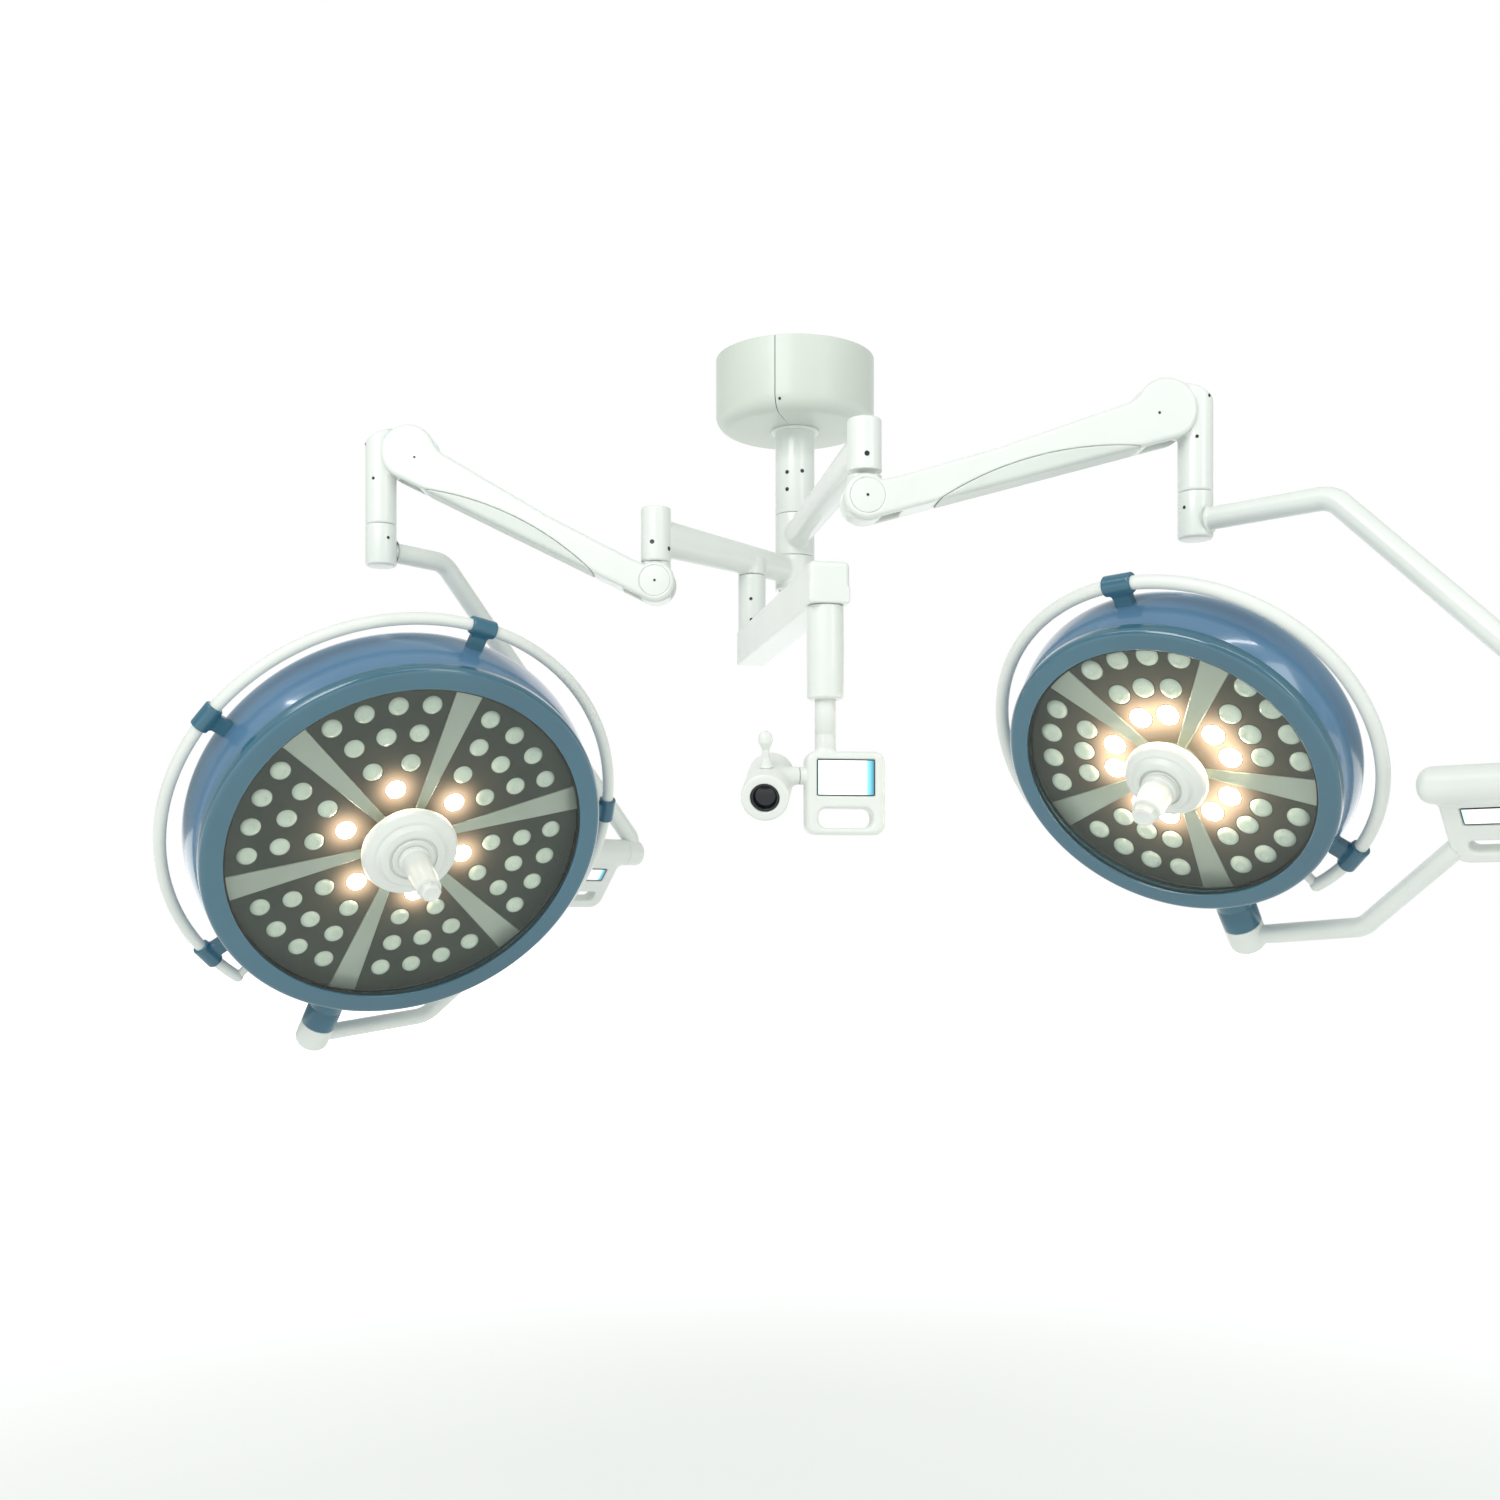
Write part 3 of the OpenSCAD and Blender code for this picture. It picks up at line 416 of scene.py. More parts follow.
def carve(f, low, high, cell, matrix):
    """Mesh of a distance field: surface nets, with each vertex moved onto the surface."""
    low, high = np.array(low, float), np.array(high, float)
    counts = np.ceil((high - low) / cell).astype(int) + 1
    grid = np.stack(np.meshgrid(*[low[i] + cell * np.arange(counts[i]) for i in range(3)],
                                indexing="ij"), -1)
    inside = f(grid) < 0
    corners = sum(inside[i:counts[0] - 1 + i, j:counts[1] - 1 + j, k:counts[2] - 1 + k].astype(int)
                  for i in (0, 1) for j in (0, 1) for k in (0, 1))
    active = (corners > 0) & (corners < 8)
    index = np.full(active.shape, -1)
    index[active] = np.arange(active.sum())
    start = low + (np.argwhere(active) + 0.5) * cell
    p = start.copy()
    for _ in range(5):
        d = f(p)
        g = np.stack([(f(p + e) - f(p - e)) / 0.1 for e in np.eye(3) * 0.05], -1)
        step = (d / np.maximum((g * g).sum(-1), 0.2))[:, None] * g
        p = start + np.clip(p - step - start, -0.9 * cell, 0.9 * cell)
    faces = []
    for axis in range(3):
        b, c = (axis + 1) % 3, (axis + 2) % 3
        moved = np.moveaxis(inside, (axis, b, c), (0, 1, 2))
        cells = np.moveaxis(index, (axis, b, c), (0, 1, 2))
        change = moved[:-1] != moved[1:]
        i, j, k = np.nonzero(change[:, 1:-1, 1:-1])
        j, k = j + 1, k + 1
        quad = np.stack([cells[i, j - 1, k - 1], cells[i, j, k - 1], cells[i, j, k],
                         cells[i, j - 1, k]], -1)
        forward = moved[i, j, k]
        faces.append(np.where(forward[:, None], quad, quad[:, ::-1]))
    return p, np.vstack(faces).tolist(), matrix


def screw(matrix, radius=3.0, height=0.5):
    """Socket set screw seen end on: a dark dished recess inside a thin rim."""
    rim = rounded([(radius * 0.72, height * 0.4, 0), (radius * 0.8, height, 0.1),
                   (radius, height * 0.8, 0.15), (radius * 1.05, -1.0, 0)], 3)
    dish = [(0, height * 0.25), (radius * 0.5, height * 0.3), (radius * 0.72, height * 0.4)]
    return [lathe(dish + rim, matrix, 24)]


def side_screw(post, post_r, yaw, z, size):
    """Set screw in the side of an upright post, in the direction yaw and at the height z."""
    return screw(post @ turn("Z", yaw) @ shift(post_r - 0.1, 0, z) @ turn("Y", 90), size, 0.6)


# ---------------------------------------------------------------- ceiling column
CANOPY_R, CANOPY_H, COLUMN_R = 145.0, 131.0, 36.0
HUB_TOP, UPPER_HUB, LOWER_HUB, GAP = 286.0, 76.5, 60.0, 0.6
LOWER_HUB_BOTTOM = HUB_TOP + 2 * GAP + UPPER_HUB + LOWER_HUB
SEAM_YAW = -105.6
CANOPY_BEND = 28.0
COLUMN_SCREWS = ((-115, -214), (-70, -212), (-115, -245))


def ceiling_column():
    origin = axes(Vector((0, 0, 0)), Vector((1, 0, 0)), Vector((0, 1, 0)), UP)
    shell = rounded([(COLUMN_R + 1.5, -CANOPY_H + 2.5, 0), (COLUMN_R + 1.5, -CANOPY_H, 0.8),
                     (CANOPY_R, -CANOPY_H, CANOPY_BEND), (CANOPY_R, -1.5, 0.8), (CANOPY_R - 2.5, -1.5, 0.8),
                     (CANOPY_R - 2.5, -CANOPY_H + 2.5, 25.5)], 10)
    for name, start in (("canopy_left", SEAM_YAW + 180.3), ("canopy_right", SEAM_YAW + 0.3)):
        part = lathe(shell, origin, 90, start, 179.4, closed=True)
        new_piece(name + "_shell", "ceiling_mount", canopy_skin, [part], [name])
    seal = rounded([(CANOPY_R - 2.4, -2, 0), (CANOPY_R - 0.9, -2, 0),
                    (CANOPY_R - 0.9, -CANOPY_H + 0.9, 27), (60, -CANOPY_H + 0.9, 0),
                    (60, -CANOPY_H + 2.4, 0), (CANOPY_R - 2.4, -CANOPY_H + 2.4, 25.5)], 8)
    seals, screws = [], []
    for yaw in (SEAM_YAW, SEAM_YAW + 180):
        seals.append(lathe(seal, origin, 2, yaw - 0.5, 1.0, closed=True))
        rounding = origin @ turn("Z", yaw + 3.2) @ shift(CANOPY_R - CANOPY_BEND, 0, CANOPY_BEND - CANOPY_H)
        screws += screw(rounding @ turn("Y", 90 + 22) @ shift(0, 0, CANOPY_BEND - 0.1), 2.6, 0.6)
    new_piece("canopy_seals", "ceiling_mount", black_seal_and_shade, seals)
    new_piece("canopy_screws", "ceiling_mount", dark_steel, screws)
    collar = rounded([(COLUMN_R + 0.1, -CANOPY_H - 4.9, 0.4), (COLUMN_R + 8, -CANOPY_H - 4.9, 2.4),
                      (COLUMN_R + 8, -CANOPY_H - 0.2, 0.5), (COLUMN_R + 0.1, -CANOPY_H - 0.2, 0.3)], 5)
    new_piece("canopy_collar_ring", "ceiling_mount", plastic,
              [lathe(collar, origin, 96, closed=True)], ["canopy_collar"])
    tube = rounded([(30, -HUB_TOP + 0.2, 0.5), (COLUMN_R, -HUB_TOP, 1.2), (COLUMN_R, -11, 0.4),
                    (30, -11, 0.4)], 5)
    sockets = []
    for yaw, z in COLUMN_SCREWS:
        sockets += side_screw(origin, COLUMN_R, yaw, z, 3.6)
    new_piece("column", "ceiling_mount", paint, [lathe(tube, origin, 96, closed=True)],
              ["column_tube"])
    new_piece("column_socket_screws", "ceiling_mount", dark_steel, sockets,
              ["column_screws"])
    cap = rounded([(0, -LOWER_HUB_BOTTOM + 0.5, 0), (27, -LOWER_HUB_BOTTOM + 0.5, 1.2),
                   (29, -LOWER_HUB_BOTTOM + 2.4, 0.4), (29, -LOWER_HUB_BOTTOM + 3.4, 0)], 4)
    new_piece("lower_cap", "ceiling_mount", plastic, [lathe(cap, origin, 64)],
              ["spindle_cap"])


# ---------------------------------------------------------------- extension arms
ARM_W, BEARING_R = 46.0, 25.5
EXTENSION = {
    "right": dict(length=595.0, hub=(-HUB_TOP - GAP - UPPER_HUB, UPPER_HUB),
                  level=-HUB_TOP - GAP - UPPER_HUB / 2 - 1, bearing=(-369.0, 84.0), root=48.0, tip=62.0),
    "left": dict(length=339.0, hub=(-LOWER_HUB_BOTTOM, LOWER_HUB),
                 level=-HUB_TOP - 2 * GAP - UPPER_HUB - LOWER_HUB / 2 + 5,
                 bearing=(-423.0, 93.0), root=48.0, tip=62.0),
}
POST_OUT = 111.0


def extension_arm(side):
    e = EXTENSION[side]
    low, height = e["hub"]
    base, tall = e["bearing"]
    tip_z = base + tall / 2 - 2

    def shape(p):
        hub = d_rod(p, 2, (0, 0, low + height / 2), COLUMN_R, height / 2, 1.2)
        t = np.clip((p[..., 0] - 18) / (e["length"] - 32), 0, 1)
        zc = e["level"] + (tip_z - e["level"]) * t
        half = (e["root"] + (e["tip"] - e["root"]) * t - ARM_W) / 2
        section = np.hypot(p[..., 1], np.maximum(np.abs(p[..., 2] - zc) - half, 0)) - ARM_W / 2
        arm = np.maximum(section, np.abs(p[..., 0] - e["length"] / 2 - 1) - e["length"] / 2 + 16)
        d = join(hub, arm, 5)
        bearing = d_rod(p, 2, (e["length"], 0, base + tall / 2), BEARING_R, tall / 2, 4.5)
        d = join(d, bearing, 2.5)
        if side == "left":
            d = join(d, d_rod(p, 2, (POST_OUT, 0, -397), 25, 15, 1.0), 3)
            d = cut(d, d_rod(p, 2, (0, 0, low), 30, 12.4), 0.8)
        return np.maximum(d, low - p[..., 2])

    zs = (min(low, base, -412.0 if side == "left" else 0), max(low + height, base + tall))
    part = carve(shape, (-40, -40, zs[0] - 4), (e["length"] + 30, 40, zs[1] + 4), 2.2,
                 extension_frame(side))
    new_piece("extension_tube_" + side, "extension_" + side, paint, [part],
              ["extension_arm_" + side], sharp=0)
    screws = []
    post = extension_frame(side) @ shift(e["length"], 0, base)
    for yaw, z in ((-4, 27),) if side == "right" else ((34, 31), (108, 22)):
        screws += side_screw(post, BEARING_R, yaw, z, 3.8)
    new_piece("set_screws_" + side, "extension_" + side, dark_steel, screws)


# ---------------------------------------------------------------- spring arms
BEAM_L, BEAM_HALF, REAR_R, FRONT_R = 470.0, 32.0, 33.5, 46.0
LUG_HALF, CHEEK_IN, KNUCKLE_DROP = 20.0, 20.5, 35.0
REAR_CAP = 25.5


def beam_outline():
    """Side outline: rear and front roundings, the hump before the front one, flat underside."""
    blend, top = 40.0, 24.0
    bx = BEAM_L - math.sqrt((FRONT_R + blend) ** 2 - (top + blend) ** 2)
    lean = math.degrees(math.atan2(top + blend, BEAM_L - bx))

    def arc(cx, cy, r, a, b, n):
        return [(cx + r * math.cos(math.radians(a + (b - a) * i / n)),
                 cy + r * math.sin(math.radians(a + (b - a) * i / n))) for i in range(n + 1)]
    return (arc(0, 0, REAR_R, 30, 268, 20) + arc(BEAM_L, 0, FRONT_R, -92, 180 - lean, 24)
            + arc(bx, top + blend, blend, -lean, -90, 8) + [(BEAM_L * 0.45, 14), (50, 15)])


def beam_pieces():
    """The spring arm's casing and its lower cover, in the beam's own frame."""
    outline = beam_outline()
    chord, rise = (90.0, 400.0), 24.0
    half = (chord[1] - chord[0]) / 2
    seam_r = (half * half + rise * rise) / (2 * rise)
    centre = (chord[0] + half, -38 + rise - seam_r)

    def whole(p):
        d = d_slab(d_polygon(p[..., [0, 2]], outline), p[..., 1], BEAM_HALF, 8)
        for x, reach in ((-155.0, 200.0), (BEAM_L + 156, 200.0)):
            d = cut(d, d_box(p, (x, 0, 10), (reach, CHEEK_IN, 90), 2), 2)
        for y in (-BEAM_HALF, BEAM_HALF):
            d = cut(d, d_rod(p, 1, (0, y, 0), REAR_CAP + 0.6, 1.8), 0.6)
        return d

    def seam(p):
        return np.hypot(p[..., 0] - centre[0], p[..., 2] - centre[1]) - seam_r

    def casing(p):
        return cut(whole(p), seam(p) - 0.25, 2.2)

    def lower(p):
        return keep(whole(p), seam(p) + 0.25, 2.2)
    identity = Matrix.Identity(4)
    box = ((-40, -36, -52), (BEAM_L + 52, 36, 52))
    return carve(casing, *box, 1.9, identity), carve(lower, (60, -36, -46), (430, 36, 0), 1.9, identity)


def beam_side(y):
    """Rotation that takes +Z out through the beam's left (y 1) or right (y -1) side."""
    return turn("X", -90 * y)


def pivot_cap(y, matrix):
    """Shallow round cover over the rear pivot."""
    cap = rounded([(0, 2.3, 0), (REAR_CAP, 2.2, 0.8), (REAR_CAP, -1.0, 0)], 6)
    return lathe(cap, matrix @ shift(0, y * (BEAM_HALF - 2.4), 0) @ beam_side(y), 64)


def spring_arm(side, casing, lower):
    m = beam_frame(side)
    new_piece("spring_arm_" + side, "beam_" + side, paint, [(casing[0], casing[1], m)],
              ["spring_beam_" + side], sharp=0)
    new_piece("spring_cover_" + side, "beam_" + side, cover, [(lower[0], lower[1], m)],
              ["beam_cover_" + side], sharp=0)
    caps = [pivot_cap(y, m) for y in (-1, 1)]
    new_piece("pivot_caps_" + side, "beam_" + side, plastic, caps)
    dots = []
    for x, z in ((0, 0), (BEAM_L - 16, -4)):
        for y in (-1, 1):
            dots += screw(m @ shift(x, y * (BEAM_HALF - 0.1), z) @ beam_side(y), 2.2, 0.4)
    new_piece("pivot_screws_" + side, "beam_" + side, dark_steel, dots)
    pins = [lathe(rounded([(0, -29.4, 0), (6.9, -29.4, 1), (6.9, 29.4, 1), (0, 29.4, 0)], 3),
                  m @ shift(x, 0, 0) @ turn("X", 90), 32) for x in (0, BEAM_L)]
    new_piece("hinge_pins_" + side, "beam_" + side, steel, pins, ["pivot_pins_" + side])


def knuckle(side):
    def shape(p):
        post = d_rod(p, 2, (0, 0, 0), BEARING_R, KNUCKLE_DROP - GAP, 1.5)
        slab = np.abs(p[..., 1]) - LUG_HALF
        drum = d_rod(p, 1, (0, 0, 0), KNUCKLE_DROP - 0.1, 60)
        upper = np.minimum(drum, -p[..., 2])
        return keep(np.maximum(post, upper), slab, 2)
    part = carve(shape, (-30, -24, -38), (30, 24, 38), 1.6, rear_frame(side))
    new_piece("swivel_knuckle_" + side, "knuckle_" + side, paint, [part],
              ["rear_knuckle_" + side], sharp=0)


SPIGOT_OUT, SPIGOT_R, COLLAR_TOP, COLLAR_BOTTOM = 52.0, 26.0, 119.0, 188.0


def spigot(side):
    slope = math.radians(24)

    def shape(p):
        post = d_rod(p, 2, (SPIGOT_OUT, 0, (46 - COLLAR_TOP + GAP) / 2), SPIGOT_R,
                     (COLLAR_TOP - GAP + 46) / 2, 3.5)
        plane = (p[..., 0] - SPIGOT_OUT + 26) * math.sin(slope) + (p[..., 2] - 47) * math.cos(slope)
        post = keep(post, plane, 7)
        lug = np.maximum(d_rod(p, 1, (0, 0, 0), 40, LUG_HALF, 2), p[..., 0] - SPIGOT_OUT)
        bridge = d_box(p, (25, 0, 0), (30, LUG_HALF, 36), 3)
        lug = np.minimum(lug, bridge)
        return join(post, lug, 4)
    part = carve(shape, (-44, -30, -122), (82, 30, 50), 1.8, front_frame(side))
    new_piece("spigot_casting_" + side, "spigot_body_" + side, paint, [part],
              ["spigot_" + side], sharp=0)
    screws = []
    post = front_frame(side) @ shift(SPIGOT_OUT, 0, 0)
    for yaw, z in ((-60, 22), (-105, -40)) if side == "right" else ((20, 18), (75, -44)):
        screws += side_screw(post, SPIGOT_R, yaw, z, 2.6)
    new_piece("spigot_screws_" + side, "spigot_body_" + side, dark_steel, screws)


# ---------------------------------------------------------------- yokes and control boxes
YOKE = {
    "right": dict(run=210.0, out=523.0, barrel=(330.0, 490.0), bend=(190.0, -250.0), foot=(362.0, -102.0),
                  elbow=(0.0, 75.0 - 257.0 - 88.0)),
    "left": dict(run=134.0, out=605.0, barrel=(440.0, 581.0), bend=(272.0, -385.0), foot=(460.0, -102.0),
                 elbow=(30.0, 25.0 - 350.0 - 88.0)),
}
YOKE_LEVEL, BEND_R, OUTER_R, INNER_R, BARREL_R = 160.0, 45.0, 17.0, 15.0, 25.5
WELD = 5.0
PANEL_W, PANEL_LOW, PANEL_HALF, PANEL_CORNER = 135.0, 126.0, 12.0, 22.0
DISPLAY_W, DISPLAY_H, DISPLAY_Z = 83.0, 30.0, -47.0
SLOT_W, SLOT_H, SLOT_Z = 83.0, 20.0, -98.0


def outer_yoke(side):
    y = YOKE[side]
    m = yoke_frame(side)
    fall = (joints["front_level_" + side][0].z - joints["yoke_tilt_" + side][0].z) / MM
    level = fall - YOKE_LEVEL
    lower = level - (y["out"] - y["run"])
    path = tube_path([(18, level), (y["run"], level), (y["out"], lower), (y["out"], 14)], BEND_R)
    tube = sweep(path, OUTER_R, m, 40)
    collar = rounded([(0, fall - COLLAR_BOTTOM, 0), (SPIGOT_R, fall - COLLAR_BOTTOM, 5),
                      (SPIGOT_R, fall - COLLAR_TOP, 1.2), (0, fall - COLLAR_TOP, 0)], 6)
    weld = [(OUTER_R + WELD * (1 - math.sin(math.radians(a))),
             SPIGOT_R - 2.2 + WELD * (1 - math.cos(math.radians(a)))) for a in range(0, 91, 15)]
    ring = lathe(weld, m @ shift(0, 0, level) @ turn("Y", 90), 48)
    start = y["barrel"][1] + GAP
    end = y["out"] + OUTER_R
    knuckle_end = rounded([(0, start, 0), (BARREL_R, start, 1.2), (BARREL_R, end, 6), (0, end, 0)], 6)
    stub = lathe(knuckle_end, m @ turn("Y", 90), 72)
    new_piece("yoke_arm_" + side, "outer_arm_" + side, paint,
              [tube, lathe(collar, m, 72), ring, stub], ["outer_yoke_" + side])
    screws = side_screw(m, SPIGOT_R, -100, fall - COLLAR_TOP - 24, 2.6)
    new_piece("yoke_screws_" + side, "outer_arm_" + side, dark_steel, screws)


def control_box(side):
    b0, b1 = YOKE[side]["barrel"]
    m = yoke_frame(side, tilted=True)
    mid = b1 - 3 - PANEL_W / 2

    def shape(p):
        barrel = d_rod(p, 0, ((b0 + b1) / 2, 0, 0), BARREL_R, (b1 - b0) / 2, 1.2)
        dome = d_rod(p, 0, (b0 + 60, 0, 0), BARREL_R, 60, 19)
        barrel = np.where(p[..., 0] < b0 + 50, dome, barrel)
        face = p[..., [0, 2]]
        outline = d_box(face, (mid, -(PANEL_LOW - 8) / 2), (PANEL_W / 2, (PANEL_LOW + 8) / 2), PANEL_CORNER)
        panel = d_slab(outline, p[..., 1], PANEL_HALF, 5)
        d = join(barrel, panel, 9)
        d = cut(d, d_box(face, (mid, SLOT_Z), (SLOT_W / 2, SLOT_H / 2), 9), 5)
        window = d_box(p, (mid, -PANEL_HALF - 4, DISPLAY_Z), (DISPLAY_W / 2, 7, DISPLAY_H / 2), 2)
        d = cut(d, window, 1.5)
        return np.maximum(np.maximum(d, b0 - p[..., 0]), p[..., 0] - b1)
    part = carve(shape, (b0 - 3, -30, -PANEL_LOW - 4), (b1 + 3, 30, 30), 1.4, m)
    new_piece("control_housing_" + side, "inner_arm_" + side, plastic, [part],
              ["control_box_" + side], sharp=0)
    face = m @ shift(mid, -PANEL_HALF + 1.6, DISPLAY_Z) @ turn("X", 90)
    display_window("panel_" + side, "inner_arm_" + side, face, DISPLAY_W - 3, DISPLAY_H - 3,
                   ["control_display_" + side])


def rounded_rect(w, h, r, steps=5):
    return rounded([(-w / 2, -h / 2, r), (w / 2, -h / 2, r), (w / 2, h / 2, r), (-w / 2, h / 2, r)], steps)


def frame_strip(w, h, inset, r, z0, z1):
    """Raised rectangular frame between two outlines."""
    a, b = rounded_rect(w, h, r), rounded_rect(w - 2 * inset, h - 2 * inset, max(r - inset, 0.5))
    n = len(a)
    verts = ([(x, y, z0) for x, y in a] + [(x, y, z1) for x, y in a] + [(x, y, z1) for x, y in b]
             + [(x, y, z0) for x, y in b])
    faces = [(k * n + i, k * n + (i + 1) % n, ((k + 1) % 4) * n + (i + 1) % n, ((k + 1) % 4) * n + i)
             for k in range(4) for i in range(n)]
    return verts, faces


def display_window(name, body, matrix, w, h, nodes):
    """Membrane display: a dark border round a pale lit face. +Z of matrix faces outwards."""
    verts, faces = frame_strip(w, h, 1.3, 2.4, -1.2, 0.5)
    new_piece(name + "_border", body, black_seal_and_shade, [(verts, faces, matrix)], sharp=40)
    outline = rounded_rect(w - 2.4, h - 2.4, 1.4)
    pane = [(x, y, 0.1) for x, y in outline] + [(x, y, -1.2) for x, y in outline]
    n = len(outline)
    faces = [tuple(range(n)), tuple(n + i for i in reversed(range(n)))]
    faces += [(i, n + i, n + (i + 1) % n, (i + 1) % n) for i in range(n)]
    piece = new_piece(name + "_screen", body, display_face, [(pane, faces, matrix)], nodes,
                      sharp=40)
    set_uv(piece, [(0.5 + x / w, 0.5 + y / h) for x, y, _ in pane])


def inner_yoke(side):
    y = YOKE[side]
    m = yoke_frame(side, tilted=True)
    foot, bend = Vector(y["foot"]), Vector(y["bend"])
    elbow = y["elbow"]
    end = bend + (foot - bend) * 0.985
    path = tube_path([(elbow[0] + 12, elbow[1] + (bend.y - elbow[1]) * 12 / (bend.x - elbow[0])),
                      tuple(bend), tuple(end)], BEND_R)
    tube = sweep(path, INNER_R, m, 36)
    angles = [math.radians(a) for a in range(0, 91, 9)]
    corner = [(12 + 17.9 * math.sin(a), elbow[1] - 6 - 17.5 * math.cos(a)) for a in angles]
    top = rounded([(29.9, elbow[1], 0), (29.9, elbow[1] + 25.4, 1.4), (0, elbow[1] + 25.4, 0)], 4)
    dome = [(0, elbow[1] - 23.5)] + corner + top
    shaft = [(14.9, elbow[1] + 25), (14.9, elbow[1] + 76), (0, elbow[1] + 76)]
    dome = lathe(dome, m @ shift(elbow[0], 0, 0), 72)
    shaft = lathe(shaft, m @ shift(elbow[0], 0, 0), 40)
    new_piece("yoke_elbow_" + side, "inner_arm_" + side, paint, [tube, dome, shaft],
              ["inner_yoke_" + side])


# ---------------------------------------------------------------- lamp heads
HEAD = {
    "right": dict(r=257.0, window=217.0, ring=190.0, sectors=5, rail=287.0, gap=28.0, hub=62.0,
                  reach=96.0, clips=(-45, 45, 180), mirror=1, rail_z=-6.0, wall_z=-18.0, back=-70.0,
                  rows=((4, 1.0, 14.0), (3, 0.725, 17.0), (2, 0.48, 27.0)), lit_row=2),
    "left": dict(r=350.0, window=303.0, ring=261.0, sectors=6, rail=387.0, gap=25.0, hub=82.0,
                 reach=130.0, clips=(-108, -36, 36, 108, 180), mirror=-1, rail_z=-24.0, wall_z=-40.0,
                 back=-92.0, rows=((4, 1.0, 12.2), (3, 0.8, 14.9), (2, 0.59, 24.0), (1, 0.41, 0.0)),
                 lit_row=3),
}
FRONT_Z, PLATE_Z, LENS_R, RAIL_R, WALL_BEND, WALL_IN = 60.0, 29.0, 16.3, 10.0, 50.0, 12.0


def housing(side):
    h, m = HEAD[side], head_frame(side)
    r, back_z = h["r"], h["back"]

    def wall(t):
        rise = 39 - h["wall_z"]
        large = (rise ** 2 + WALL_IN ** 2) / (2 * WALL_IN)
        line = []
        for bend, first, last in ((large, math.degrees(math.asin(rise / large)), 0), (WALL_BEND, -5, -60)):
            for i in range(13):
                a = math.radians(first + (last - first) * i / 12)
                line.append((r - bend + (bend - t) * math.cos(a), h["wall_z"] + (bend - t) * math.sin(a)))
        return line + [(r - 90, back_z + t + 2), (60, back_z + t)]
    shell = wall(0) + wall(3)[::-1]
    back = rounded([(0, back_z, 0), (61, back_z, 0.5), (61, back_z + 3, 0), (0, back_z + 3, 0)], 3)
    boss = rounded([(0, r - 30, 0), (30, r - 30, 0), (30, r + 20, 0), (29, r + 22, 0.5), (29, r + 24, 0.5),
                    (30, r + 26, 0), (30, r + 62, 1.4), (15.5, r + 62, 0.6), (15.5, r + 50, 0)], 4)
    new_piece("head_shell_" + side, "head_" + side, blue,
              [lathe(shell, m, 160, closed=True), lathe(back, m, 64)], ["housing_" + side])
    new_piece("head_boss_" + side, "head_" + side, clip, [lathe(boss, m @ turn("Y", 90), 72)])


def bezel(side):
    h, m = HEAD[side], head_frame(side)
    r, w = h["r"], h["window"]
    rim = rounded([(w + 6, 39.3, 0), (r - 9.2, 39.3, 1.2), (r - 9, FRONT_Z, 19), (w + 0.2, FRONT_Z, 4.5),
                   (w + 0.2, 54.2, 0.3), (w + 6, 54.2, 0)], 12)
    gasket = rounded([(w - 3, 54.1, 0), (w - 3, 54.9, 0.4), (w + 2, 55.6, 0.4), (w + 2, 54.1, 0)], 3)
    # The rim's darker, greener blue is painted shade and reflection over the shell's paint.
    new_piece("rim_" + side, "head_" + side, shaded_rim_blue, [lathe(rim, m, 160, closed=True)],
              ["bezel_" + side])
    new_piece("window_gasket_" + side, "head_" + side, black_seal_and_shade,
              [lathe(gasket, m, 160, closed=True)])
    pane = [(32, 50), (32, 54), (w + 5.5, 54), (w + 5.5, 50)]
    new_piece("window_" + side, "head_" + side, glass, [lathe(pane, m, 128, closed=True)],
              ["glass_" + side])


def rib_half(h, radius):
    return 3 + 22 * radius / (h["window"] + 20)


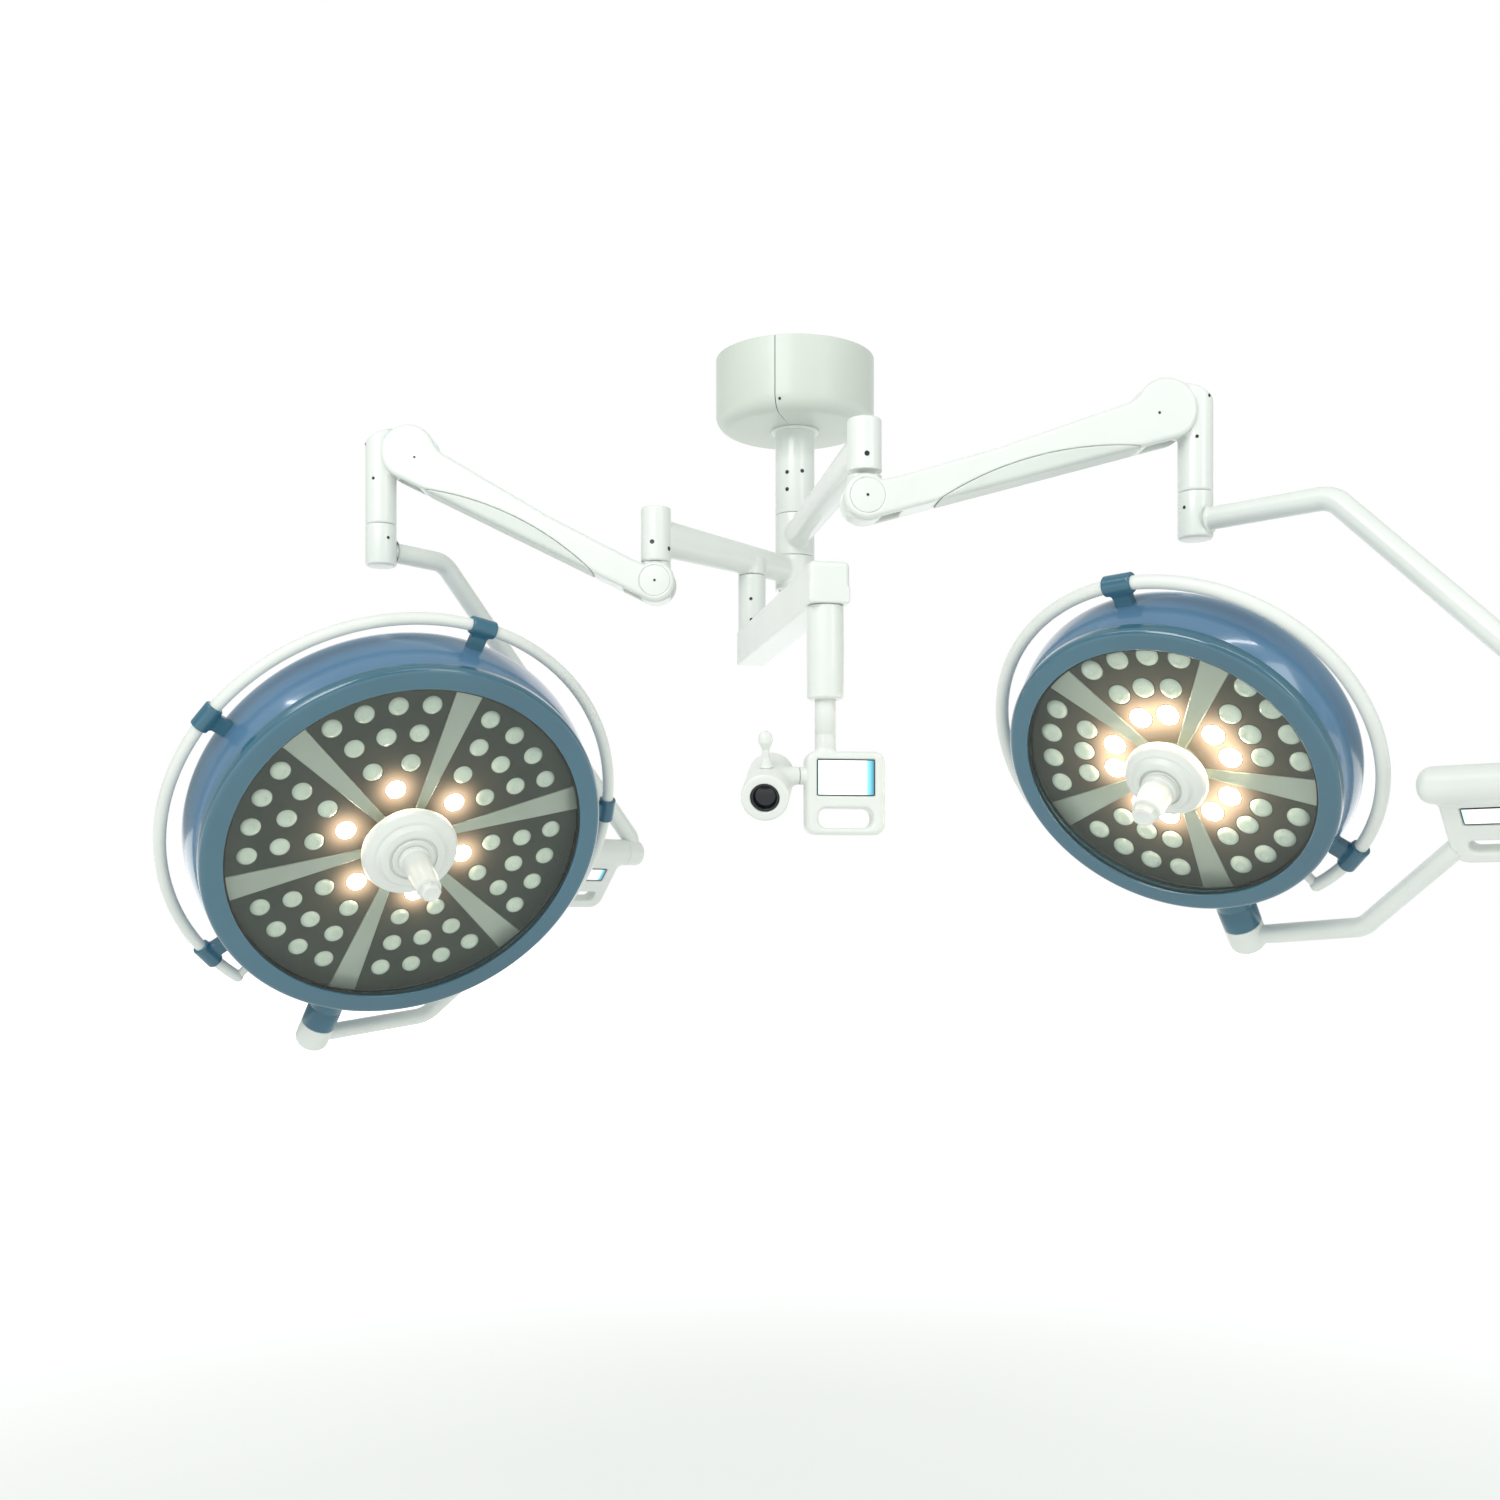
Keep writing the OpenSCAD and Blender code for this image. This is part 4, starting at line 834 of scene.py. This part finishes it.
def carrier(side):
    h, m = HEAD[side], head_frame(side)
    count, outer, inner = h["sectors"], h["window"] + 8, h["hub"] * 0.7
    ribs = []
    steps = 24
    for i in range(count):
        verts, faces = [], []
        for k in range(steps + 1):
            radius = inner + (outer - inner) * k / steps
            w = rib_half(h, radius)
            for y, z in ((-w, 26.0), (-w, 30.0), (-w + 1.0, 30.7), (0, 30.2),
                         (w - 1.0, 30.7), (w, 30.0), (w, 26.0)):
                verts.append((math.sqrt(max(radius ** 2 - y ** 2, 0)), y, z))
        for k in range(steps):
            for j in range(6):
                a = k * 7 + j
                faces.append((a, a + 7, a + 8, a + 1))
        faces.append(tuple(range(7)))
        faces.append(tuple(reversed(range(steps * 7, steps * 7 + 7))))
        ribs.append((verts, faces, m @ turn("Z", 360 / count * i)))
    disc = rounded([(24, 22, 0), (24, 26, 0), (h["window"] + 12, 26, 0.3), (h["window"] + 12, 22, 0.3)], 2)
    new_piece("reflector_ribs_" + side, "head_" + side, silver,
              ribs + [lathe(disc, m, 128, closed=True)], ["led_carrier_" + side])
    glow = [p.to_translation() for row, p in lens_places(h) if row == h["lit_row"]]
    plates, glows = [], []
    across, out = 44, 36
    for i in range(count):
        verts = []
        rows = [(inner, PLATE_Z - 2.8)]
        rows += [(inner + (outer - inner) * k / out, PLATE_Z) for k in range(out + 1)]
        rows += [(outer, PLATE_Z - 2.8)]
        first = 2 * math.pi / count * i
        for radius, z in rows:
            gap = math.asin((rib_half(h, radius) + 0.5) / radius)
            a0, a1 = first + gap, first + 2 * math.pi / count - gap
            line = [(a0, PLATE_Z - 2.8)] + [(a0 + (a1 - a0) * k / across, z) for k in range(across + 1)]
            line += [(a1, PLATE_Z - 2.8)]
            verts += [(radius * math.cos(a), radius * math.sin(a), zz) for a, zz in line]
        n = across + 3
        faces = [(k * n + j, (k + 1) * n + j, (k + 1) * n + j + 1, k * n + j + 1)
                 for k in range(len(rows) - 1) for j in range(n - 1)]
        plates.append((verts, faces, m))
        glows += [glow_share(v, glow) for v in verts]
    piece = new_piece("sector_faces_" + side, "head_" + side, dark, plates,
                      ["sector_plates_" + side])
    # U carries the share of painted glow that sets the plate's emission.
    set_uv(piece, [(g, 0.5) for g in glows])


def glow_share(point, lamps):
    """How much painted glow from the lit lenses a point of the sector plate gets, 0 to 1."""
    total = 0.0
    for lamp in lamps:
        d = math.hypot(point[0] - lamp.x, point[1] - lamp.y)
        total += math.exp(-((d / 27) ** 2)) + 0.05 * math.exp(-((d / 70) ** 2))
    return min(total, 1.0)


def lens_places(h):
    for i in range(h["sectors"]):
        for row, (count, share, spacing) in enumerate(h["rows"]):
            for k in range(count):
                angle = (i + 0.5) * 360 / h["sectors"] + (k - (count - 1) / 2) * spacing
                yield row, turn("Z", angle) @ shift(h["ring"] * share, 0, 0)


def lenses(side):
    h, m = HEAD[side], head_frame(side)
    body = rounded([(LENS_R, 26.2, 0), (LENS_R, 29.6, 0.6), (LENS_R - 1.8, 31.6, 1.2), (11.5, 33.4, 3),
                    (6.5, 34.3, 0.8), (5.4, 33.5, 0.5), (0, 33.9, 0)], 5)
    # Dark ring round each lens: painted shadow at the lens edge.
    ring = rounded([(LENS_R + 1.6, 29.0, 0), (LENS_R + 1.2, 29.5, 0.2), (LENS_R - 0.4, 29.2, 0),
                    (LENS_R - 0.4, 28.2, 0)], 2)
    plain, bright, shade_rings = [], [], []
    for row, place in lens_places(h):
        target = bright if row == h["lit_row"] else plain
        target.append(lathe(body, m @ place, 32))
        shade_rings.append(lathe(ring, m @ place, 32))
    new_piece("lenses_plain_" + side, "head_" + side, lens, plain, ["lenses_" + side])
    new_piece("lenses_lit_" + side, "head_" + side, lit, bright)
    new_piece("lens_shade_rings_" + side, "head_" + side, black_seal_and_shade, shade_rings)


def hub_and_handle(side):
    h, m = HEAD[side], head_frame(side)
    r = h["hub"]
    dome = rounded([(18, 26, 0), (31.8, 26, 0), (31.8, 54.4, 0), (r, 54.4, 1.5), (r, 62, 6), (r - 4, 68.5, 5),
                    (r * 0.80, 73.6, 2), (r * 0.74, 73.6, 1.5), (r * 0.70, 77, 2), (r * 0.66, 81.2, 3),
                    (r * 0.5, 82.6, 1.2), (r * 0.5, 79, 0.5), (r * 0.44, 79, 0.5), (r * 0.44, 83.8, 1.5),
                    (18, 83.8, 0.8)], 6)
    new_piece("hub_dome_" + side, "head_" + side, plastic, [lathe(dome, m, 96)],
              ["centre_hub_" + side])
    tip = FRONT_Z + h["reach"]
    stem = rounded([(0, 40, 0), (17.6, 40, 0), (17.6, 84.8, 0.3), (26.8, 84.8, 1.2), (26.8, 92, 3),
                    (24, 95, 2), (20.8, tip - 16, 1.5), (17, tip - 14, 0.5), (0, tip - 14, 0)], 5)
    knob = rounded([(0, tip - 16, 0), (16.6, tip - 16, 1), (17.9, tip - 11, 1.5), (16.4, tip - 1.2, 2),
                    (12, tip - 0.2, 1), (9.5, tip - 1.4, 0.6), (0, tip - 1.4, 0)], 4)
    new_piece("focus_handle_" + side, "handle_body_" + side, plastic,
              [lathe(stem, m, 64), lathe(knob, m @ turn("Z", 22.5), 8)], ["handle_" + side], sharp=30)


def rail(side):
    h, m = HEAD[side], head_frame(side)
    y = h["mirror"]
    steps = 150
    arc = []
    for k in range(steps + 1):
        a = math.radians(h["gap"] + (360 - 2 * h["gap"]) * k / steps) * y
        arc.append((h["rail"] * math.cos(a), h["rail"] * math.sin(a), h["rail_z"]))
    ends = turn("Z", h["gap"] * y)
    leg_path = [(h["r"] - 8, 0, h["rail_z"]), (h["rail"] - 6, 0, h["rail_z"])]
    leg = sweep(leg_path, 7, m @ ends, 24)
    angles = [math.radians(a) for a in range(-90, 91, 10)]
    ball = [(RAIL_R * math.cos(a), RAIL_R * math.sin(a)) for a in angles]
    balls = [lathe(ball, m @ ends @ shift(h["rail"], 0, h["rail_z"]), 32)]
    cap = rounded([(0, 0.6, 0), (RAIL_R - 0.2, 0.6, 2.5), (RAIL_R - 0.2, -4, 0)], 4)
    free = turn("Z", -h["gap"] * y) @ shift(h["rail"], 0, h["rail_z"]) @ facing((0, y, 0))
    balls.append(lathe(cap, m @ free @ shift(0, 0, -0.7), 32))
    new_piece("hand_rail_" + side, "head_" + side, plastic,
              [sweep(arc, RAIL_R, m, 32), leg] + balls, ["grip_rail_" + side])


def clips(side):
    h, m = HEAD[side], head_frame(side)
    reach = h["rail"] - h["r"]

    def shape(p):
        sleeve = d_rod(p, 1, (0, 0, 0), RAIL_R + 4.8, 21.5, 2.5)
        neck = d_box(p, (-reach / 2 - 5, 0, 0), (reach / 2 + 6, 13.8, 7.8), 3)
        return join(sleeve, neck, 5)
    part = carve(shape, (-reach - 14, -25, -18), (18, 25, 18), 1.3, Matrix.Identity(4))
    parts = [(part[0], part[1], m @ turn("Z", a) @ shift(h["rail"], 0, h["rail_z"])) for a in h["clips"]]
    new_piece("rail_brackets_" + side, "head_" + side, clip, parts, ["rail_clips_" + side],
              sharp=0)


# ---------------------------------------------------------------- camera arm
POST_R, POST_TOP = 24.5, 412.6
BOOM_BOTTOM, BOOM_H, BOOM_LEN, STEM_END = 571.0, 60.0, 579.0, 780.0
FRAME_W, FRAME_H, FRAME_HALF, FRAME_OUT, JOINT_Z = 115.0, 120.0, 17.0, 27.5, 815.0
CAMERA_L, CAMERA_R, CAMERA_X, CAMERA_Y = 125.0, 34.0, -44.0, -14.0


def camera_arm():
    post = flat(joints["boom_swing"][0])
    column = flat(joints["drop_swivel"][0])
    x = (column - post).normalized()
    m = axes(post, x, UP.cross(x), UP)

    def boom(p):
        foot = BOOM_BOTTOM - 8
        rod = d_rod(p, 2, (0, 0, -(foot + POST_TOP) / 2), POST_R, (foot - POST_TOP) / 2, 3)
        bar = d_box(p, (BOOM_LEN / 2 - 8, 0, -BOOM_BOTTOM + BOOM_H / 2),
                    (BOOM_LEN / 2 + 12, 24, BOOM_H / 2), 3)
        bar = cut(bar, p[..., 0] + 20, 2)
        box = d_box(p, (BOOM_LEN, 0, -BOOM_BOTTOM + BOOM_H / 2), (30, 30, BOOM_H / 2), 9)
        low = d_box(p, (BOOM_LEN, 0, -BOOM_BOTTOM + 12), (30, 30, 12), 2.5)
        box = np.minimum(box, low)
        return join(join(rod, bar, 4), box, 5)
    part = carve(boom, (-28, -34, -BOOM_BOTTOM - 3), (BOOM_LEN + 34, 34, -POST_TOP + 3), 2.2, m)
    neck = lathe([(0, -POST_TOP - 4), (13.9, -POST_TOP - 4), (13.9, -POST_TOP + 30), (0, -POST_TOP + 30)],
                 m, 40)
    new_piece("camera_swing_arm", "boom", paint, [part, neck], ["camera_boom"], sharp=0)
    screws = []
    for yaw, z in ((-15, -POST_TOP - 45), (-13, -POST_TOP - 82)):
        screws += side_screw(m, POST_R, yaw, z, 3.0)
    new_piece("camera_arm_screws", "boom", dark_steel, screws)

    c = axes(column, x, UP.cross(x), UP)
    drop = rounded([(12, -BOOM_BOTTOM - GAP, 0), (26.4, -BOOM_BOTTOM - GAP, 1.5), (27, -BOOM_BOTTOM - 60, 0),
                    (26.2, -706, 13), (15.2, -706, 1.5), (15.2, -696, 0)], 8)
    new_piece("camera_drop_tube", "drop", paint, [lathe(drop, c, 80)], ["drop_tube"])

    side = joints["camera_tilt"][1]
    f = axes(column + side * FRAME_OUT * MM, side, UP.cross(side), UP)

    def frame_shape(p):
        face = p[..., [0, 2]]
        outline = d_box(face, (0, -STEM_END - FRAME_H / 2), (FRAME_W / 2, FRAME_H / 2), 16)
        d = d_slab(outline, p[..., 1], FRAME_HALF, 8)
        d = cut(d, d_box(face, (0, -876), (39.5, 14), 12), 7)
        d = cut(d, d_box(p, (0, -FRAME_HALF - 3, -818), (43, 6, 27), 2), 1.5)
        boss = d_rod(p, 0, (-FRAME_W / 2 - 3, 0, -JOINT_Z), 13, 5, 1.5)
        d = join(d, boss, 3)
        return join(d, d_rod(p, 2, (-FRAME_OUT, 0, -STEM_END + 20), 15, 24, 1), 5)
    part = carve(frame_shape, (-FRAME_W / 2 - 10, -21, -904), (FRAME_W / 2 + 4, 21, -756), 1.4, f)
    stem = sweep([(-FRAME_OUT, 0, -650), (-FRAME_OUT, 0, -STEM_END - 1)], 15, f, 48)
    pin = lathe([(0, -FRAME_W / 2 - 20), (6, -FRAME_W / 2 - 20), (6, -FRAME_W / 2)],
                f @ shift(0, 0, -JOINT_Z) @ turn("Y", 90), 24)
    new_piece("camera_control_frame", "drop", plastic, [part, stem, pin], ["control_frame"],
              sharp=0)
    display_window("frame", "drop", f @ shift(0, -FRAME_HALF + 2.3, -818) @ turn("X", 90), 84, 52,
                   ["frame_display"])

    lens_frame = f @ shift(-FRAME_W / 2 - 8.6, 0, -JOINT_Z) @ turn("Z", -14) @ turn("X", 21) @ turn("X", 90)
    to_joint = np.array(lens_frame.inverted() @ f @ shift(-FRAME_W / 2 - 8.6, 0, -JOINT_Z) @ turn("Y", 90))
    spin = np.linalg.inv(to_joint[:3, :3])

    def camera(p):
        barrel = d_rod(p, 2, (CAMERA_X, CAMERA_Y, 0), CAMERA_R, CAMERA_L / 2, 12)
        front = d_rod(p, 2, (CAMERA_X, CAMERA_Y, CAMERA_L / 2 - 20), CAMERA_R, 20, 3.5)
        barrel = np.minimum(barrel, front)
        q = (p - to_joint[:3, 3]) @ spin.T
        neck = d_rod(q, 2, (0, 0, -20), 13, 20, 1.5)
        d = join(barrel, neck, 8)
        return cut(d, d_rod(p, 2, (CAMERA_X, CAMERA_Y, CAMERA_L / 2), 21, 9), 1.5)
    part = carve(camera, (CAMERA_X - 38, CAMERA_Y - 38, -CAMERA_L / 2 - 4), (16, 40, CAMERA_L / 2 + 4), 1.5,
                 lens_frame)
    new_piece("camera_housing", "camera", plastic, [part], ["camera_body"], sharp=0)
    at = lens_frame @ shift(CAMERA_X, CAMERA_Y, CAMERA_L / 2 - 9)
    bezel_ring = rounded([(20.8, 0.4, 0), (20.8, 5.2, 0.6), (17.2, 5.2, 0.6), (15.6, 2.0, 0.5),
                          (15.6, 0.4, 0)], 4)
    new_piece("camera_lens_ring", "camera", black_gloss, [lathe(bezel_ring, at, 64)])
    dome = [(0, 4.2), (4, 4.0), (8, 3.4), (12, 2.3), (15.7, 0.8), (15.7, 0.2)]
    new_piece("camera_lens_glass", "camera", black_gloss, [lathe(dome, at, 64)],
              ["camera_lens"])
    grip = rounded([(0, 1.4, 0), (10.6, 1.4, 0), (9, 3.2, 2), (5, 14, 8), (5.2, 27, 4), (10.6, 38, 8),
                    (9.5, 48, 8), (3, 52.8, 3), (0, 52.9, 0)], 6)
    m = lens_frame @ shift(CAMERA_X, CAMERA_Y + CAMERA_R - 1, 20) @ turn("X", -90)
    new_piece("camera_knob", "camera", plastic, [lathe(grip, m, 48)], ["camera_grip"])


# ---------------------------------------------------------------- assembly
ceiling_column()
casing, lower = beam_pieces()
for side in SIDES:
    extension_arm(side)
    spring_arm(side, casing, lower)
    knuckle(side)
    spigot(side)
    outer_yoke(side)
    control_box(side)
    inner_yoke(side)
    housing(side)
    bezel(side)
    carrier(side)
    lenses(side)
    hub_and_handle(side)
    rail(side)
    clips(side)
camera_arm()

kept = {"ceiling_flange": steel, "hub_spindle": steel, "hub_bushings": bronze}
for side in SIDES:
    kept["gas_spring_" + side] = dark_steel
    kept["link_rod_" + side] = steel
for name, mat in kept.items():
    node = frame["nodes"][name]
    node.data.materials.clear()
    node.data.materials.append(mat)


# ---------------------------------------------------------------- floor, light and camera
def add_floor():
    """Pale floor that brightens with distance until it meets the white surroundings."""
    mesh = bpy.data.meshes.new("floor")
    size, depth = 60.0, -2.7
    corners = [(x * size, y * size, depth) for x, y in ((-1, -1), (1, -1), (1, 1), (-1, 1))]
    mesh.from_pydata(corners, [], [(0, 1, 2, 3)])
    floor = bpy.data.objects.new("floor", mesh)
    collection.objects.link(floor)
    mat = material("floor_pale", (0.80, 0.81, 0.80), rough=0.85, vary=0.01, scale=0.5)
    mesh.materials.append(mat)
    links = mat.node_tree.links
    place = add_node(mat, "TexCoord")
    reach = add_node(mat, "VectorMath")
    reach.operation = "LENGTH"
    links.new(place.outputs["Object"], reach.inputs[0])
    span = add_node(mat, "MapRange", From_Min=2.0, From_Max=9.0, To_Min=0.20, To_Max=0.9)
    span.interpolation_type = "SMOOTHSTEP"
    links.new(reach.outputs["Value"], span.inputs["Value"])
    shader = mat.node_tree.nodes["Principled BSDF"]
    set_inputs(shader, Emission_Color=(1, 1, 1, 1))
    links.new(span.outputs["Result"], shader.inputs["Emission Strength"])


def add_light(name, place, target, size, power, color=(1, 1, 1)):
    data = bpy.data.lights.new(name, "AREA")
    data.shape = "RECTANGLE"
    data.size, data.size_y = size
    data.energy = power
    data.color = color
    light = bpy.data.objects.new(name, data)
    light.matrix_world = Matrix.Translation(place) @ facing(Vector(place) - Vector(target))
    collection.objects.link(light)


def add_world():
    """White backdrop beyond the object and dimmer, faintly green walls on the other sides."""
    world = bpy.data.worlds.new("studio")
    bpy.context.scene.world = world
    world.use_nodes = True
    nodes, links = world.node_tree.nodes, world.node_tree.links
    place = add_node(world, "TexCoord")
    split = add_node(world, "SeparateXYZ")
    links.new(place.outputs["Generated"], split.inputs["Vector"])
    height = add_node(world, "MapRange", From_Min=-0.1, From_Max=0.6)
    links.new(split.outputs["Z"], height.inputs["Value"])
    walls = add_node(world, "ValToRGB")
    walls.color_ramp.elements[0].color = (0.28, 0.33, 0.30, 1)
    walls.color_ramp.elements[1].color = (0.62, 0.65, 0.63, 1)
    links.new(height.outputs["Result"], walls.inputs["Fac"])
    backdrop = add_node(world, "MapRange", From_Min=0.70, From_Max=0.80)
    backdrop.interpolation_type = "SMOOTHSTEP"
    links.new(split.outputs["Y"], backdrop.inputs["Value"])
    links.new(walls.outputs["Color"], nodes["Background"].inputs["Color"])
    white = add_node(world, "Background", Color=(1, 1, 1, 1))
    mix = add_node(world, "MixShader")
    links.new(backdrop.outputs["Result"], mix.inputs["Fac"])
    links.new(nodes["Background"].outputs["Background"], mix.inputs[1])
    links.new(white.outputs["Background"], mix.inputs[2])
    links.new(mix.outputs["Shader"], nodes["World Output"].inputs["Surface"])


def add_camera():
    data = bpy.data.cameras.new("view")
    data.sensor_width = 36.0
    data.lens = 38.4
    data.shift_y = 0.10
    data.clip_end = 200
    camera = bpy.data.objects.new("view", data)
    camera.location = (-0.0827, -2.945, -0.993)
    camera.rotation_euler = (math.radians(90), 0, 0)
    collection.objects.link(camera)
    bpy.context.scene.camera = camera


add_floor()
add_world()
add_light("key", (-1.4, -3.3, 1.1), (0, -0.4, -0.6), (2.0, 1.2), 50)
add_light("streak", (-1.6, -1.8, 1.3), (-0.5, -0.3, -0.8), (2.4, 0.10), 12)
add_light("streak_right", (1.2, -2.2, 1.2), (0.5, -0.5, -0.8), (1.8, 0.10), 8)
add_light("fill", (2.6, -3.0, 0.4), (0.4, -0.5, -0.7), (1.0, 1.6), 15, (0.97, 1.0, 0.98))
add_camera()
bpy.context.scene.view_settings.view_transform = "Standard"
